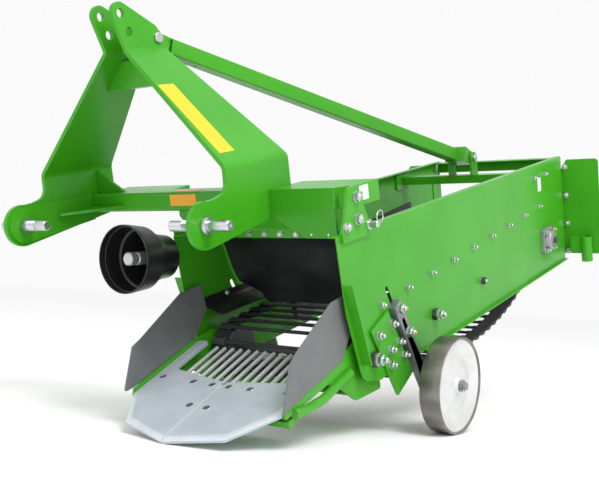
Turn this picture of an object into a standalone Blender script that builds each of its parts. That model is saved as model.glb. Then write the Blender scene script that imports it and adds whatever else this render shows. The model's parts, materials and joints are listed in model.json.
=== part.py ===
"""Single-row elevator potato harvester on a three-point linkage.

Lengths below are in millimetres in the machine's own frame: X to its left, Y to
the rear, Z up, with the lower linkage pins on the line y = 0, z = 0.  A root
empty then pitches the machine nose-down until the share and the two wheels
stand on the floor, and centres it over the origin.
"""

import math

import bmesh
import bpy
from mathutils import Matrix, Vector

# --- driving sizes -----------------------------------------------------------
# linkage mast
PIN_SPAN = 683.0  # between the shoulders of the lower pins
PIN_R = 14.0
EYE_R = 60.0
PLATE_T = 12.0
EAR_GAP = 63.0
EAR_HOLE_R = 13.0
EAR_TOP = (118.6, 546.0)
EAR_LOW = (141.0, 498.0)
BEND_TOP_Z = 447.0
BEND_LOW_Z = 129.0

# cross beam
BEAM_Y = (265.5, 345.0)
BEAM_Z = (-7.0, 49.0)
BEAM_WALL = 8.0
BEAM_CORNER = 7.0  # outside radius, off the wall so that no two corners line up

# body
BODY_X = 353.0  # offset of the digging row from the linkage centre
BODY_HALF = 267.0  # outer face of a side wall
WALL_T = 3.0
WALL_TOP = -58.0
WALL_LOW = -467.0
WALL_FRONT = 160.0
WALL_REAR = 1794.0
FLANGE = 20.0

# share
SHARE_SLOPE = 13.2
SHARE_Y, SHARE_Z = -3.0, -397.0  # rear end of the seam, top face
SHARE_T = 12.0
SIDE_X = 238.3
CHEEK_X = 246.6  # inner face of a share cheek, outside the frame arm
CHEEK_T = 4.0
ROD_COUNT = 13
ROD_PITCH = 28.0
ROD_R = 5.5
TIE_T = 16.0
SKID_X, SKID_R = 250.5, 12.0

# web
FRONT_AXLE = (281.0, -403.0)
MID_AXLES = ((638.0, -379.0), (984.0, -362.0))
DRIVE_AXLE = (1580.0, -347.0)
FRONT_ROLL_R = 60.0
DRIVE_ROLL_R = 64.0
BELT_T = 6.0
BELT_X = (174.0, 220.0)
WEB_ROD_R = 5.0
WEB_RODS = 62
SAG = 1.0

# wheels
WHEEL_R = 135.0
WHEEL_W = 62.0
WHEEL_FACE = 392.0  # outer face from the body's middle plane
WHEEL_Y, WHEEL_Z = 523.0, -545.0
AXLE_R = 12.0

# drive line
DRIVE_X = 52.0
DRIVE_FALL = 9.4
PTO_Z = -90.0
GUARD_R = 92.0

# colour, roughness and metallic of each finish
GREEN = ((0.10, 0.45, 0.06, 1.0), 0.32, 0.0)
STEEL = ((0.55, 0.57, 0.58, 1.0), 0.42, 0.8)
BLACK = ((0.02, 0.02, 0.02, 1.0), 0.55, 0.0)
ZINC = ((0.70, 0.72, 0.74, 1.0), 0.3, 1.0)

MM = 0.001
GAP = 0.3
WELD = 0.0001  # points this near are one
FLAT = math.radians(0.02)  # faces this near to level are one
SHARP = math.radians(32.0)
# an outline's plane and the way it is extruded, for each axis
AXES = {
    "X": Matrix(((0, 0, 1), (1, 0, 0), (0, 1, 0))).to_4x4(),
    "Y": Matrix(((1, 0, 0), (0, 0, 1), (0, 1, 0))).to_4x4(),
    "Z": Matrix.Identity(4),
}

for old in list(bpy.data.objects):
    bpy.data.objects.remove(old)

scene = bpy.context.scene
scene.unit_settings.system = "METRIC"
parts = bpy.data.collections.new("potato_harvester")
tools = bpy.data.collections.new("tools")
scene.collection.children.link(parts)
scene.collection.children.link(tools)
root = bpy.data.objects.new("stance", None)
parts.objects.link(root)


# --- outlines ----------------------------------------------------------------
def circle(centre, radius, count=24, start=0.0):
    return [
        (
            centre[0] + radius * math.cos(math.radians(start) + math.tau * i / count),
            centre[1] + radius * math.sin(math.radians(start) + math.tau * i / count),
        )
        for i in range(count)
    ]


def arc(centre, radius, a, b, count=8):
    return [
        (
            centre[0] + radius * math.cos(math.radians(a + (b - a) * i / count)),
            centre[1] + radius * math.sin(math.radians(a + (b - a) * i / count)),
        )
        for i in range(count + 1)
    ]


def rounded(points, radii, steps=4, closed=True):
    """The polyline with each corner replaced by a tangent arc."""
    if not isinstance(radii, (list, tuple)):
        radii = [radii] * len(points)
    out = []
    count = len(points)
    for i, point in enumerate(points):
        if radii[i] <= 0 or (not closed and i in (0, count - 1)):
            out.append(tuple(point))
            continue
        here = Vector(point)
        back = Vector(points[i - 1]) - here
        ahead = Vector(points[(i + 1) % count]) - here
        turn = back.angle(ahead)
        reach = min(
            radii[i] / math.tan(turn / 2), 0.49 * back.length, 0.49 * ahead.length
        )
        radius = reach * math.tan(turn / 2)
        u, v = back.normalized(), ahead.normalized()
        centre = here + (u + v).normalized() * (radius / math.sin(turn / 2))
        first = here + u * reach - centre
        last = here + v * reach - centre
        sweep = first.angle(last)
        for k in range(steps + 1):
            t = k / steps
            spot = (
                first * math.sin((1 - t) * sweep) + last * math.sin(t * sweep)
            ) / math.sin(sweep)
            out.append(tuple(centre + spot))
    return out


def offset(path, distance, closed=False):
    """The polyline moved sideways, to its left for a positive distance."""
    out = []
    count = len(path)
    for i in range(count):
        here = Vector(path[i])
        before = Vector(path[i - 1]) if closed or i else None
        after = Vector(path[(i + 1) % count]) if closed or i < count - 1 else None
        sides = []
        if before is not None:
            step = (here - before).normalized()
            sides.append(Vector((-step.y, step.x)))
        if after is not None:
            step = (after - here).normalized()
            sides.append(Vector((-step.y, step.x)))
        side = (sides[0] + sides[-1]).normalized()
        out.append(tuple(here + side * (distance / side.dot(sides[0]))))
    return out


def band(path, thickness):
    """The closed outline of a strip that follows the path."""
    return list(path) + offset(path, thickness)[::-1]


# --- solids ------------------------------------------------------------------
def shaped(data, modifier_settings=None, whole_flats=True):
    """What an object with this curve or mesh evaluates to, welded, as a bmesh."""
    obj = bpy.data.objects.new("shape", data)
    scene.collection.objects.link(obj)
    if modifier_settings:
        modifier = obj.modifiers.new("turn", "SCREW")
        for setting, value in modifier_settings.items():
            setattr(modifier, setting, value)
    graph = bpy.context.evaluated_depsgraph_get()
    mesh = bpy.data.meshes.new_from_object(obj.evaluated_get(graph))
    bpy.data.objects.remove(obj)
    bm = bmesh.new()
    bm.from_mesh(mesh)
    bpy.data.meshes.remove(mesh)
    bmesh.ops.remove_doubles(bm, verts=bm.verts, dist=WELD)
    if whole_flats:
        bmesh.ops.dissolve_limit(bm, angle_limit=FLAT, verts=bm.verts, edges=bm.edges)
    return bm


def new_mesh(bm, matrix=None, smooth=False):
    """The finished mesh in metres, with its faces turned outward."""
    if matrix is not None:
        bm.transform(matrix)
    bmesh.ops.recalc_face_normals(bm, faces=bm.faces)
    if bm.calc_volume(signed=True) < 0:
        bmesh.ops.reverse_faces(bm, faces=bm.faces)
    bm.transform(Matrix.Scale(MM, 4))
    mesh = bpy.data.meshes.new("solid")
    bm.to_mesh(mesh)
    bm.free()
    if smooth:
        mesh.shade_smooth()
        mesh.set_sharp_from_angle(angle=SHARP)
    return mesh


def spline_of(curve, points, closed):
    """A straight-sided spline through these points, in the plane or in space."""
    spline = curve.splines.new("POLY")
    spline.points.add(len(points) - 1)
    for vertex, point in zip(spline.points, points):
        spot = (*point, 0.0) if len(point) == 2 else tuple(point)
        vertex.co = (*spot, 1.0)
    spline.use_cyclic_u = closed


def prism(loops, axis, a, b, matrix=None):
    """Outer loop and hole loops, a filled flat curve extruded along an axis from a to b."""
    if isinstance(loops[0][0], (int, float)):
        loops = [loops]
    curve = bpy.data.curves.new("outline", "CURVE")
    curve.dimensions = "2D"
    curve.fill_mode = "BOTH"
    curve.extrude = abs(b - a) / 2
    for loop in loops:
        spline_of(curve, loop, True)
    bm = shaped(curve, whole_flats=len(loops) == 1)
    for vert in bm.verts:  # set one by one, so that flush faces stay exactly flush
        vert.co.z = b if vert.co.z > 0 else a
    bm.transform(AXES[axis])
    return new_mesh(bm, matrix)


def box(x0, x1, y0, y1, z0, z1, matrix=None):
    bm = bmesh.new()
    bmesh.ops.create_cube(bm, size=1.0)
    for vert in bm.verts:  # set one by one, so that flush faces stay exactly flush
        x, y, z = vert.co
        vert.co = (x1 if x > 0 else x0, y1 if y > 0 else y0, z1 if z > 0 else z0)
    return new_mesh(bm, matrix)


def frame_on(start, end, side=(1.0, 0.0, 0.0)):
    """A matrix whose Z runs from start to end and whose X is as near side as can be."""
    start, end = Vector(start), Vector(end)
    w = (end - start).normalized()
    u = Vector(side)
    u = (u - w * u.dot(w)).normalized()
    turn = Matrix((u, w.cross(u), w)).transposed()
    return Matrix.Translation(start) @ turn.to_4x4()


def axis_frame(start, end):
    """frame_on, with Z for its side when the line runs mostly along X."""
    line = Vector(end) - Vector(start)
    side = (0.0, 0.0, 1.0) if abs(line.x) > 0.5 * line.length else (1.0, 0.0, 0.0)
    return frame_on(start, end, side)


def cylinder(start, end, radius, count=24, bore=0.0):
    """A round bar, or a tube if it has a bore."""
    length = (Vector(end) - Vector(start)).length
    if bore:
        loops = [circle((0, 0), radius, count), circle((0, 0), bore, count)]
        return prism(loops, "Z", 0.0, length, axis_frame(start, end))
    bm = bmesh.new()
    bmesh.ops.create_cone(
        bm, cap_ends=True, segments=count, radius1=radius, radius2=radius, depth=length
    )
    bm.transform(Matrix.Translation((0.0, 0.0, length / 2)))
    return new_mesh(bm, axis_frame(start, end), smooth=True)


def lathe(profile, start, end, count=32):
    """A closed (radius, height) outline, turned about the line from start to end."""
    outline = bmesh.new()
    spots = [outline.verts.new((radius, 0.0, height)) for radius, height in profile]
    pairs = list(zip(spots, spots[1:]))
    if max(profile[0][0], profile[-1][0]) > WELD:
        pairs.append((spots[-1], spots[0]))
    for pair in pairs:
        outline.edges.new(pair)
    mesh = bpy.data.meshes.new("profile")
    outline.to_mesh(mesh)
    outline.free()
    turn = {
        "axis": "Z",
        "angle": math.tau,
        "steps": count,
        "render_steps": count,
        "use_merge_vertices": True,
        "merge_threshold": WELD,
    }
    return new_mesh(shaped(mesh, turn), axis_frame(start, end), smooth=True)


def pipe(points, radius, count=12):
    """A round bar along a line of points."""
    curve = bpy.data.curves.new("bar", "CURVE")
    curve.dimensions = "3D"
    curve.bevel_depth = radius
    curve.bevel_resolution = (count - 4) // 2
    curve.use_fill_caps = True
    spline_of(curve, points, False)
    return new_mesh(shaped(curve), smooth=True)


def joined(*meshes):
    """Separate solids that don't meet, as the one operand of a Boolean."""
    bm = bmesh.new()
    for mesh in meshes:
        bm.from_mesh(mesh)
    mesh = bpy.data.meshes.new("solids")
    bm.to_mesh(mesh)
    bm.free()
    return mesh


# --- nodes -------------------------------------------------------------------
def material(name, finish):
    colour, roughness, metallic = finish
    made = bpy.data.materials.new(name)
    made.use_nodes = True
    shader = made.node_tree.nodes["Principled BSDF"]
    shader.inputs["Base Color"].default_value = colour
    shader.inputs["Roughness"].default_value = roughness
    shader.inputs["Metallic"].default_value = metallic
    return made


def tool(mesh, name):
    obj = bpy.data.objects.new(name, mesh)
    obj.hide_render = True
    obj.display_type = "WIRE"
    obj.parent = root
    tools.objects.link(obj)
    return obj


def node(name, finish, base, add=(), cut=(), keep=None, late=()):
    """One solid: the base, with pieces united, an outline kept, and cutters removed."""
    base.name = name
    obj = bpy.data.objects.new(name, base)
    obj.data.materials.append(material(name, finish))
    obj.parent = root
    parts.objects.link(obj)
    steps = [("UNION", mesh) for mesh in add]
    if keep is not None:
        steps.append(("INTERSECT", keep))
    steps += [("UNION", mesh) for mesh in late]
    steps += [("DIFFERENCE", mesh) for mesh in cut]
    for i, (operation, mesh) in enumerate(steps):
        modifier = obj.modifiers.new(operation.lower() + str(i), "BOOLEAN")
        modifier.operation = operation
        modifier.solver = "EXACT"
        modifier.object = tool(mesh, f"{name}.{operation.lower()}{i}")
    return obj


def on_axis(obj, point):
    """Moves a turning piece's origin onto its axis, with its shape where it was."""
    spot = Vector(point) * MM
    obj.data.transform(Matrix.Translation(-spot))
    obj.location = spot


def sided(side, name):
    return name + ("_left" if side > 0 else "_right")


def body(side, a, b):
    """Two distances from the body's middle plane, as x values in order."""
    return tuple(sorted((BODY_X + side * a, BODY_X + side * b)))


PIN_X = PIN_SPAN / 2
INNER = BODY_HALF - WALL_T  # inner face of a side wall

# --- mast --------------------------------------------------------------------
ear_x = EAR_GAP / 2
mast_line = rounded(
    [(ear_x, 640.0), (ear_x, BEND_TOP_Z), (PIN_X, BEND_LOW_Z), (PIN_X, -120.0)],
    [0, 22, 22, 0],
    5,
    closed=False,
)
mast_side = (
    arc((0, 0), EYE_R, -82, -285, 18)
    + rounded(
        [(46.0, 59.0), (96.0, 70.0), (98.0, BEND_LOW_Z + 8), (120.0, BEND_TOP_Z + 6)],
        [0, 32, 0, 0],
        5,
        closed=False,
    )
    + arc(EAR_TOP, 30.0, 196, 58, 8)
    + rounded([(243.0, 515.0), (292.0, 462.0)], [0, 0], closed=False)
    + [(277.0, 445.0), (368.0, BEND_LOW_Z), (368.0, -14.0)]
)
STAY_FRONT = (247.0, 481.0)
for side in (1, -1):
    line = [(side * x, z) for x, z in mast_line]
    plate = prism(band(line, side * PLATE_T), "Y", -90.0, 420.0)
    holes = [
        circle((0, 0), PIN_R + GAP, 24),
        circle(EAR_TOP, EAR_HOLE_R, 20),
        circle(EAR_LOW, EAR_HOLE_R, 20),
        circle(STAY_FRONT, 10.0 + GAP, 20),
    ]
    outline = prism([mast_side] + holes, "X", side * 5.0, side * 420.0)
    doubler_side = arc((0, 0), 50.0, -90, -270, 14) + [(264.9, 50.0), (264.9, -28.0)]
    inner = sorted((side * (PIN_X - 8.0), side * (PIN_X + 1.0)))
    doubler = prism([doubler_side, circle((0, 0), PIN_R + 1.0, 24)], "X", *inner)
    node(sided(side, "mast_plate"), GREEN, plate, keep=outline, late=[doubler])

    shoulder = PIN_X + PLATE_T + GAP
    pin = [
        (0.0, 237.0),
        (PIN_R - 2, 237.0),
        (PIN_R, 239.0),
        (PIN_R, PIN_X - 26.0),
        (23.0, PIN_X - 26.0),
        (23.0, PIN_X - 8.0 - GAP),
        (PIN_R, PIN_X - 8.0 - GAP),
        (PIN_R, shoulder),
        (22.0, shoulder),
        (22.0, shoulder + 13.0),
        (PIN_R, shoulder + 13.0),
        (PIN_R, PIN_X + 87.0),
        (PIN_R - 2.5, PIN_X + 89.5),
        (0.0, PIN_X + 89.5),
    ]
    node(sided(side, "lower_pin"), ZINC, lathe(pin, (0, 0, 0), (side * 100.0, 0, 0), 24))

# spreader between the sloping plates
def mast_x(z):
    """Inner face of a mast plate at this height."""
    share = (BEND_TOP_Z - z) / (BEND_TOP_Z - BEND_LOW_Z)
    return ear_x + (PIN_X - ear_x) * share


slant = 0.42
high, low = 428.0, 352.0
spreader = [
    (-mast_x(high) + slant, high),
    (mast_x(high) - slant, high),
    (mast_x(low) - slant, low),
    (-mast_x(low) + slant, low),
]
flat = [
    (-mast_x(low + 8.0) + slant, low + 8.0),
    (mast_x(low + 8.0) - slant, low + 8.0),
    (mast_x(low) - slant, low),
    (-mast_x(low) + slant, low),
]
node(
    "mast_spreader",
    GREEN,
    prism(spreader, "Y", 190.0, 198.0),
    add=[prism(flat, "Y", 196.0, 285.0)],
)

# --- cross beam --------------------------------------------------------------
by0, by1 = BEAM_Y
bz0, bz1 = BEAM_Z
beam_x = PIN_X - GAP
weld_x = beam_x - 0.5  # what is welded on stops just short of the tube's ends
tube_out = rounded([(by0, bz0), (by1, bz0), (by1, bz1), (by0, bz1)], BEAM_CORNER, 3)
w = BEAM_WALL
tube_in = rounded(
    [(by0 + w, bz0 + w), (by1 - w, bz0 + w), (by1 - w, bz1 - w), (by0 + w, bz1 - w)], 4.0, 3
)
gussets = []
for side in (1, -1):
    upright = [
        (side * weld_x, bz1 - 1.5),
        (side * weld_x, bz1 + 72.0),
        (side * (PIN_X - 118.0), bz1 - 1.5),
    ]
    gussets.append(prism(upright, "Y", 300.0, 308.0))
    flatwise = [(side * (PIN_X - 8.6), by0 + 1), (side * (PIN_X - 8.6), 118.0), (side * (PIN_X - 24.0), 118.0), (side * (PIN_X - 150.0), by0 + 1)]
    gussets.append(prism(flatwise, "Z", 6.0, 14.0))
rear_plan = [(-weld_x, 344.0), (-weld_x, 432.0), (-72.0, 432.0), (-60.0, 344.0)]
rear_box = rounded(rear_plan, [0, 6, 14, 0], 3)
hanger_side = [
    (172.0, -84.0),
    (340.0, -84.0),
    (340.0, bz0 + 2.0),
    (262.0, bz0 + 2.0),
    (262.0, -40.0),
    (172.0, -40.0),
]
hanger = prism(hanger_side, "X", 78.0 - GAP, 86.0 - GAP)
front_plate = prism(
    [(20.0, bz0 + 1.0), (20.0, -22.0), (60.0, -60.0), (78.5, -60.0), (78.5, bz0 + 1.0)],
    "Y",
    by0 + 1.0,
    by0 + 9.0,
)
node(
    "cross_beam",
    GREEN,
    prism([tube_out, tube_in], "X", -beam_x, beam_x),
    add=[
        *gussets,
        prism(rear_box, "Z", 8.0, bz1 - 0.6),
        hanger,
        front_plate,
    ],
)

# --- near hitch box ----------------------------------------------------------
wall_out = BODY_X + BODY_HALF
box_plan = rounded(
    [
        (PIN_X + PLATE_T + GAP, 264.0),
        (556.0, 264.0),
        (600.0, 306.0),
        (600.0, 424.0),
        (PIN_X + PLATE_T + GAP, 424.0),
    ],
    [0, 10, 10, 6, 0],
    3,
)
bracket = rounded(
    [(180.0, -78.0), (292.0, -78.0), (306.0, -34.0), (262.0, 56.0), (222.0, 52.0), (192.0, -30.0), (180.0, -50.0)],
    [4, 6, 8, 8, 8, 8, 4],
    3,
)
tapered = [
    (PIN_X + PLATE_T + GAP, -3.0),
    (PIN_X + PLATE_T + GAP, -24.0),
    (460.0, -82.0),
    (556.0, -82.0),
    (556.0, -3.0),
]
node(
    "hitch_box",
    GREEN,
    prism(box_plan, "Z", -6.0, 49.0),
    add=[
        prism(tapered, "Y", 264.5, 272.5),
        box(572.0, wall_out + 1.5, 264.5, 300.0, -2.0, 34.0),
        prism(bracket, "X", wall_out + GAP, wall_out + 8.3),
    ],
)

# --- side walls --------------------------------------------------------------
def wall_outline():
    return rounded(
        [
            (WALL_FRONT, WALL_TOP),
            (WALL_REAR, WALL_TOP),
            (WALL_REAR, WALL_LOW),
            (300.0, WALL_LOW),
            (222.0, -444.0),
            (173.0, -250.0),
        ],
        [6, 6, 3, 46, 46, 60],
        5,
    )


for side in (1, -1):
    skin = body(side, INNER, BODY_HALF)
    axles = [
        circle(FRONT_AXLE, 12.0 + GAP, 16),
        circle(MID_AXLES[0], 10.0 + GAP, 16),
        circle(MID_AXLES[1], 8.0 + GAP, 16),
        circle(DRIVE_AXLE, 24.0, 20),
    ]
    lean = math.radians(25)
    slot_mid = (388.0, -259.0)
    slot = []
    for k, end in ((0, 1), (1, -1)):
        tip = (
            slot_mid[0] - end * 22 * math.sin(lean),
            slot_mid[1] + end * 22 * math.cos(lean),
        )
        start = 90 + 25 - 90 if end == 1 else 90 + 25 + 90
        slot += arc(tip, 7.0, start, start + 180, 5)
    top = body(side, INNER - FLANGE, INNER + 1.0)
    foot = body(side, BODY_HALF - 1.0, BODY_HALF + 12.0)
    lip = body(side, BODY_HALF - 1.0, BODY_HALF + 26.0)
    front_lip = [
        (171.0, -180.0),
        (175.0, -180.0),
        (231.0, -402.0),
        (227.0, -402.0),
    ]
    bar = rounded([(196.0, -322.0), (352.0, -276.0), (345.0, -252.0), (189.0, -298.0)], [3, 11, 11, 3], 3)
    strip = body(side, INNER - 4.0, INNER + 1.0)
    node(
        sided(side, "side_wall"),
        GREEN,
        prism([wall_outline()] + axles + [slot], "X", *skin),
        add=[
            box(*top, WALL_FRONT, WALL_REAR, WALL_TOP - WALL_T, WALL_TOP - 0.2),
            box(*foot, 560.0, WALL_REAR, WALL_LOW + 0.3, WALL_LOW + 3.3),
            prism(front_lip, "X", *lip),
            prism(bar, "X", *strip),
        ],
    )

# --- rear bar, stay, wings ---------------------------------------------------
STAY_REAR = (1480.0, -18.0)
ears = []
for side in (1, -1):
    ears.append(
        prism(
            [(1452.0, -80.0), (1508.0, -80.0)] + arc(STAY_REAR, 24.0, -10, 190, 10),
            "X",
            *body(side, 40.0, 48.0),
        )
    )
plates = [
    prism(
        rounded([(1422.0, -124.0), (1528.0, -124.0), (1528.0, -66.3), (1422.0, -66.3)], 6.0, 3),
        "X",
        *body(side, INNER - 8.0, INNER - GAP),
    )
    for side in (1, -1)
]
node(
    "rear_cross_bar",
    GREEN,
    prism(
        [
            (1460.0, -109.0),
            (1463.5, -109.0),
            (1463.5, -82.5),
            (1496.5, -82.5),
            (1496.5, -109.0),
            (1500.0, -109.0),
            (1500.0, -79.0),
            (1460.0, -79.0),
        ],
        "X",
        BODY_X - INNER + 2.0,
        BODY_X + INNER - 2.0,
    ),
    add=[joined(*ears), joined(*plates)],
    cut=[prism(circle(STAY_REAR, 9.0 + GAP, 16), "X", *body(1, -60.0, 60.0))],
)

front = Vector((0.0, STAY_FRONT[0], STAY_FRONT[1]))
rear = Vector((BODY_X, STAY_REAR[0], STAY_REAR[1]))
along = (rear - front).normalized()
start, end = front + along * 70.0, rear - along * 34.0
half = 23.0
section = rounded([(-half, -half), (half, -half), (half, half), (-half, half)], 5.0, 2)
inside = rounded([(-half + 3, -half + 3), (half - 3, -half + 3), (half - 3, half - 3), (-half + 3, half - 3)], 2.0, 2)
stay_tube = prism([section, inside], "Z", 0.0, (end - start).length, frame_on(start, end))
tilt = math.degrees(math.atan2(along.z, along.y))


def turned(points, centre, angle):
    c, s = math.cos(math.radians(angle)), math.sin(math.radians(angle))
    return [(centre[0] + x * c - z * s, centre[1] + x * s + z * c) for x, z in points]


front_block = turned(rounded([(-22, -20), (76, -26), (76, 26), (-22, 20)], [16, 0, 0, 16], 4), STAY_FRONT, tilt)
rear_block = turned(rounded([(-62, -28), (22, -22), (22, 22), (-62, 28)], [0, 18, 18, 0], 4), STAY_REAR, tilt)
drains = [
    cylinder(spot, spot - Vector((0.0, 0.0, 40.0)), 4.0, 8)
    for spot in (start + along * 90.0, end - along * 90.0)
]
node(
    "top_stay",
    GREEN,
    stay_tube,
    add=[
        prism(front_block, "X", -ear_x + 1.2, ear_x - 1.2),
        prism(rear_block, "X", BODY_X - 38.8, BODY_X + 38.8),
    ],
    cut=[
        joined(
            prism(circle(STAY_FRONT, 10.0 + GAP, 20), "X", -60.0, 60.0),
            prism(circle(STAY_REAR, 9.0 + GAP, 16), "X", *body(1, -60.0, 60.0)),
            *drains,
        )
    ],
)


def pin_shape(radius, head, a, b):
    return [(0.0, a - 8.0), (head, a - 8.0), (head, a - GAP), (radius, a - GAP), (radius, b + GAP), (head, b + GAP), (head, b + 5.0), (radius, b + 5.0), (radius, b + 14.0), (0.0, b + 14.0)]


outer = ear_x + PLATE_T
node(
    "stay_pin_front",
    ZINC,
    lathe(pin_shape(10.0, 15.0, -outer, outer), (0, *STAY_FRONT), (-10, *STAY_FRONT), 20),
)
node(
    "stay_pin_rear",
    ZINC,
    lathe(pin_shape(9.0, 14.0, -48.0, 48.0), (BODY_X, *STAY_REAR), (BODY_X - 10, *STAY_REAR), 16),
)

corner = WALL_TOP - WALL_T - GAP
node(
    "rear_cross_angle",
    GREEN,
    prism(
        [
            (1750.0, corner - 4.0),
            (1786.0, corner - 4.0),
            (1786.0, corner - 44.0),
            (1790.0, corner - 44.0),
            (1790.0, corner),
            (1750.0, corner),
        ],
        "X",
        BODY_X - INNER + 5.0,
        BODY_X + INNER - 5.0,
    ),
)

for side in (1, -1):
    flange = body(side, INNER - 3.3, INNER - GAP)
    face = rounded(
        [(side * (INNER - 3.3), -112.0), (side * (INNER + 20.0), -74.0), (side * (INNER + 142.0), -74.0), (side * (INNER + 142.0), -446.0), (side * (INNER - 3.3), -446.0)],
        [0, 4, 14, 4, 0],
        4,
    )
    face = [(BODY_X + x, z) for x, z in face]
    tube_x = BODY_X + side * (INNER + 91.0)
    strap = body(side, INNER + 28.0, INNER + 78.0)
    ring = [circle((tube_x, 1788.0), 21.0, 20), circle((tube_x, 1788.0), 18.0, 20)]
    node(
        sided(side, "rear_wing"),
        GREEN,
        prism(face, "Y", 1808.0, 1811.0),
        add=[
            box(*flange, 1740.0, 1810.0, -440.0, -116.0),
            box(*strap, 1786.0, 1809.0, -436.0, -376.0),
            prism(ring, "Z", -471.0, -374.0),
        ],
    )

# --- share -------------------------------------------------------------------
slope = math.radians(SHARE_SLOPE)
share_frame = Matrix(
    (
        (1.0, 0.0, 0.0, BODY_X),
        (0.0, math.cos(slope), -math.sin(slope), SHARE_Y),
        (0.0, math.sin(slope), math.cos(slope), SHARE_Z),
        (0.0, 0.0, 0.0, 1.0),
    )
)
for side in (1, -1):
    blade = [
        (side * 0.3, -249.0),
        (side * 157.0, -206.5),
        (side * 228.0, -104.0),
        (side * 237.0, -90.0),
        (side * 237.0, 176.0),
        (side * 198.0, 176.0),
        (side * 198.0, 32.0),
        (side * 8.0, 1.0),
        (side * 8.0, -12.0),
        (side * 0.3, -12.0),
    ]
    holes = [
        circle((side * x, s), 6.5, 12)
        for x, s in ((27.0, -110.0), (27.0, -18.0), (92.0, -16.0), (201.0, -12.0))
    ]
    node(
        sided(side, "share"),
        STEEL,
        prism([blade] + holes, "Z", -SHARE_T, 0.0, share_frame),
    )
    wing = rounded(
        [
            (-108.0, -417.0),
            (-60.0, -309.0),
            (139.0, -215.0),
            (224.0, -211.0),
            (236.0, -282.0),
            (160.0, -370.0),
        ],
        [3, 6, 8, 8, 8, 4],
        3,
    )
    node(
        sided(side, "share_side"),
        STEEL,
        prism(wing, "X", *body(side, CHEEK_X, CHEEK_X + CHEEK_T)),
    )

carrier = prism([(-225.0, -64.0), (225.0, -64.0), (225.0, -24.0), (-225.0, -24.0)], "Z", -SHARE_T - GAP - 16.0, -SHARE_T - GAP, share_frame)
rods = []
for i in range(ROD_COUNT):
    x = (i - (ROD_COUNT - 1) / 2) * ROD_PITCH
    a = share_frame @ Vector((x, -40.0, -SHARE_T - GAP - 7.0))
    b = share_frame @ Vector((x, 178.0, -SHARE_T - GAP - 7.0))
    rods.append(cylinder(a, b, ROD_R, 8))
node("share_rods", STEEL, carrier, add=[joined(*rods)])

arm = rounded(
    [
        (-90.0, -434.0),
        (-84.0, -414.0),
        (150.0, -358.0),
        (240.0, -346.0),
        (322.0, -366.0),
        (338.0, -504.0),
        (212.0, -494.0),
        (158.0, -448.0),
        (96.0, -410.0),
    ],
    [3, 3, 20, 20, 20, 8, 14, 10, 20],
    3,
)
skid_line = [(-60.0, -428.0), (-10.0, -436.0), (60.0, -436.0), (190.0, -410.0)]
skid = rounded(skid_line, [0, 30, 50, 0], 5, closed=False)
arms = [prism([arm, circle(FRONT_AXLE, 12.0 + GAP, 16)], "X", *body(side, SIDE_X, CHEEK_X - GAP)) for side in (1, -1)]
skids = [
    pipe([(BODY_X + side * SKID_X, y, z) for y, z in skid], SKID_R, 12) for side in (1, -1)
]
bosses = [
    prism(
        [circle(FRONT_AXLE, 30.0, 20), circle(FRONT_AXLE, 12.0 + GAP, 16)],
        "X",
        *body(side, SIDE_X + 4.0, INNER - GAP),
    )
    for side in (1, -1)
]
tongue = prism([(-70.0, -172.0), (70.0, -172.0), (90.0, -66.0), (-90.0, -66.0)], "Z", -SHARE_T - GAP - 26.0, -SHARE_T - GAP, share_frame)
tie_top = -SHARE_T - 2 * GAP - 16.0
tie_plan = [(-245.0, -84.0), (245.0, -84.0), (245.0, -30.0), (-245.0, -30.0)]
tie_box = prism(tie_plan, "Z", tie_top - TIE_T, tie_top, share_frame)
node(
    "share_frame",
    GREEN,
    tie_box,
    add=[tongue, joined(*arms), joined(*skids), joined(*bosses)],
)

# --- web ---------------------------------------------------------------------
def web_path(extra):
    """The belt's running line, this far outside the rollers."""
    fr = FRONT_ROLL_R + 0.5
    dr = DRIVE_ROLL_R + 0.5
    rise = math.degrees(math.atan2(DRIVE_AXLE[1] - FRONT_AXLE[1] + dr - fr, DRIVE_AXLE[0] - FRONT_AXLE[0]))
    front_arc = arc(FRONT_AXLE, fr, 90 + rise, 258, 16)
    rear_arc = arc(DRIVE_AXLE, dr, -58, 90 + rise, 14)
    p0, p3 = Vector(front_arc[-1]), Vector(rear_arc[0])
    a, b = math.radians(-12), math.radians(32)
    p1 = p0 + Vector((math.cos(a), math.sin(a))) * 470.0
    p2 = p3 - Vector((math.cos(b), math.sin(b))) * (480.0 * SAG)
    low_run = []
    for i in range(1, 24):
        t = i / 24
        low_run.append(tuple((1 - t) ** 3 * p0 + 3 * (1 - t) ** 2 * t * p1 + 3 * (1 - t) * t * t * p2 + t ** 3 * p3))
    p, q = Vector(rear_arc[-1]), Vector(front_arc[0])
    top_run = [tuple(p.lerp(q, i / 16)) for i in range(1, 16)]
    loop = front_arc + low_run + rear_arc + top_run
    return offset(loop, -extra, closed=True) if extra else loop


belts = [
    prism([web_path(BELT_T), web_path(0.0)], "X", *body(side, *BELT_X)) for side in (1, -1)
]
rod_line = web_path(BELT_T + 3.5)
lengths = [0.0]
for a, b in zip(rod_line, rod_line[1:] + rod_line[:1]):
    lengths.append(lengths[-1] + (Vector(b) - Vector(a)).length)


def along_web(distance):
    for i in range(len(rod_line)):
        if lengths[i + 1] >= distance:
            t = (distance - lengths[i]) / (lengths[i + 1] - lengths[i])
            return Vector(rod_line[i]).lerp(Vector(rod_line[(i + 1) % len(rod_line)]), t)
    return Vector(rod_line[0])


bars = []
for i in range(WEB_RODS):
    spot = along_web(lengths[-1] * (i + 0.5) / WEB_RODS)
    bars.append(prism(circle(tuple(spot), WEB_ROD_R, 8, 22.5), "X", *body(1, -BELT_X[1] + 2, BELT_X[1] - 2)))
node("web", BLACK, joined(*belts), add=[joined(*bars)])


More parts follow.
